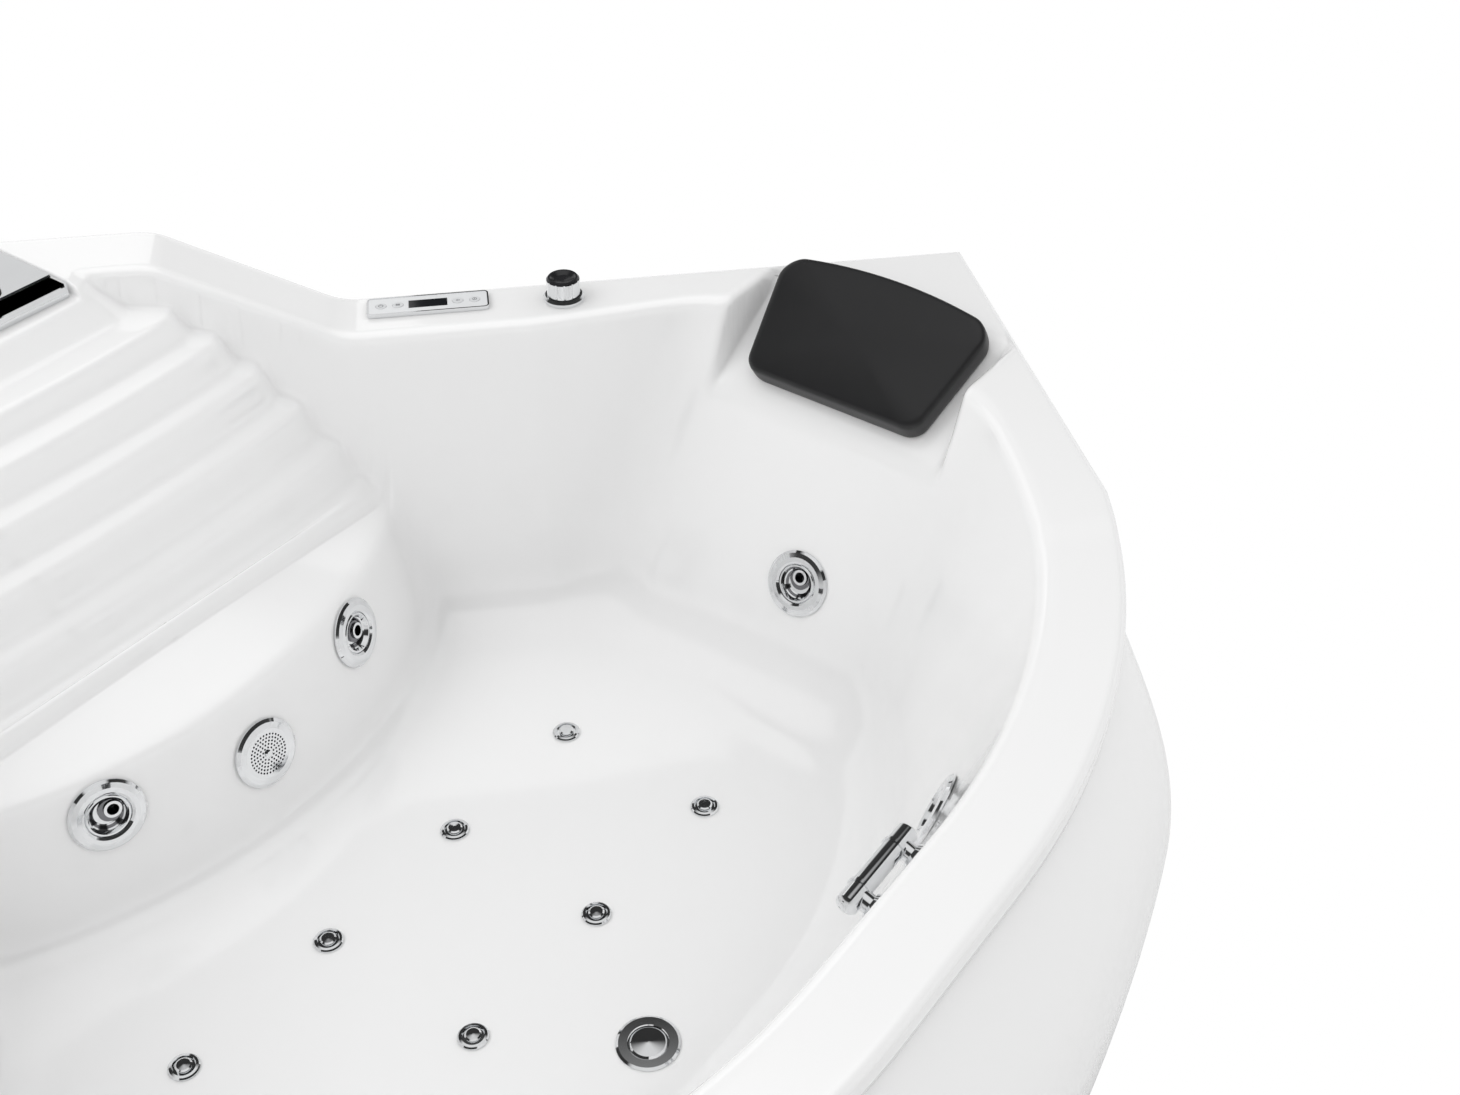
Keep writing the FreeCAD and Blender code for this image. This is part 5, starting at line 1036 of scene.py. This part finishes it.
world = bpy.context.scene.world or bpy.data.worlds.new("studio")
bpy.context.scene.world = world
world.use_nodes = True
tree = world.node_tree


def backdrop(strength):
    """A white background of a given strength."""
    shade = tree.nodes.new("ShaderNodeBackground")
    shade.inputs["Color"].default_value = (1.0, 1.0, 1.0, 1.0)
    shade.inputs["Strength"].default_value = strength
    return shade


def chosen(share, otherwise, taken):
    """One background where the share is 1, the other where it is 0."""
    mix = tree.nodes.new("ShaderNodeMixShader")
    tree.links.new(share, mix.inputs["Fac"])
    tree.links.new(otherwise, mix.inputs[1])
    tree.links.new(taken, mix.inputs[2])
    return mix.outputs["Shader"]


# Mirrors see a bright horizon, dark walls over it and a bright ceiling panel.
# The camera sees plain white, and every other ray a soft white sky.
SKY = 0.88
place = tree.nodes.new("ShaderNodeTexCoord")
split = tree.nodes.new("ShaderNodeSeparateXYZ")
ramp = tree.nodes.new("ShaderNodeValToRGB")
tree.links.new(place.outputs["Generated"], split.inputs["Vector"])
tree.links.new(split.outputs["Z"], ramp.inputs["Fac"])
STOPS = ((0.0, 0.80), (0.26, 0.62), (0.40, 0.05), (0.80, 0.03), (0.86, 0.75), (1.0, 0.85))
while len(ramp.color_ramp.elements) < len(STOPS):
    ramp.color_ramp.elements.new(0.5)
for element, (position, grey) in zip(ramp.color_ramp.elements, STOPS):
    element.position = position
    element.color = (grey, grey, grey, 1.0)
room = backdrop(1.0)
tree.links.new(ramp.outputs["Color"], room.inputs["Color"])
path = tree.nodes.new("ShaderNodeLightPath")
sky = backdrop(SKY)
lit = chosen(path.outputs["Is Glossy Ray"], sky.outputs["Background"], room.outputs["Background"])
plain = backdrop(1.0)
seen = chosen(path.outputs["Is Camera Ray"], lit, plain.outputs["Background"])
tree.links.new(seen, tree.nodes["World Output"].inputs["Surface"])


def lamp(name, place, aim, wide, high, power, mirrored):
    """A rectangular lamp that looks at a point; mirrored says whether reflections show it."""
    data = bpy.data.lights.new(name, "AREA")
    data.shape = "RECTANGLE"
    data.size = wide
    data.size_y = high
    data.energy = power
    obj = bpy.data.objects.new(name, data)
    obj.location = place
    obj.rotation_euler = (Vector(aim) - Vector(place)).to_track_quat("-Z", "Y").to_euler()
    bpy.context.scene.collection.objects.link(obj)
    obj.visible_glossy = mirrored


lamp("key", (-1.6, 1.6, 3.2), (0.2, 0.0, 0.3), 2.6, 2.0, 29.0, False)
lamp("front", (-0.4, -0.9, 3.4), (0.0, 0.5, 0.3), 1.6, 1.2, 9.0, False)
lamp("fill", (2.8, -1.6, 2.4), (0.0, 0.0, 0.3), 2.0, 1.6, 5.0, False)
lamp("rear", (1.4, 2.6, 2.0), (0.2, -0.2, 0.4), 1.8, 1.0, 4.0, True)

# The photograph's camera: lens and film in millimetres, place in the plan, turn and dip in degrees.
LENS = 43.40
FILM = 36.0
CAMERA_U = -897.2
CAMERA_A = 2061.9
CAMERA_RISE = 1182.1
CAMERA_TURN = 54.0
CAMERA_DIP = 38.2

camera_data = bpy.data.cameras.new("photo_view")
camera_data.lens = LENS
camera_data.sensor_width = FILM
camera = bpy.data.objects.new("photo_view", camera_data)
camera.location = to_frame(CAMERA_U, CAMERA_A, RIM + CAMERA_RISE)
turn = math.radians(CAMERA_TURN)
dip = math.radians(CAMERA_DIP)
heading = Vector((math.sin(turn) * math.cos(dip), math.cos(turn) * math.cos(dip), -math.sin(dip)))
camera.rotation_euler = heading.to_track_quat("-Z", "Y").to_euler()
bpy.context.scene.collection.objects.link(camera)
bpy.context.scene.camera = camera
bpy.context.scene.view_settings.view_transform = "Standard"
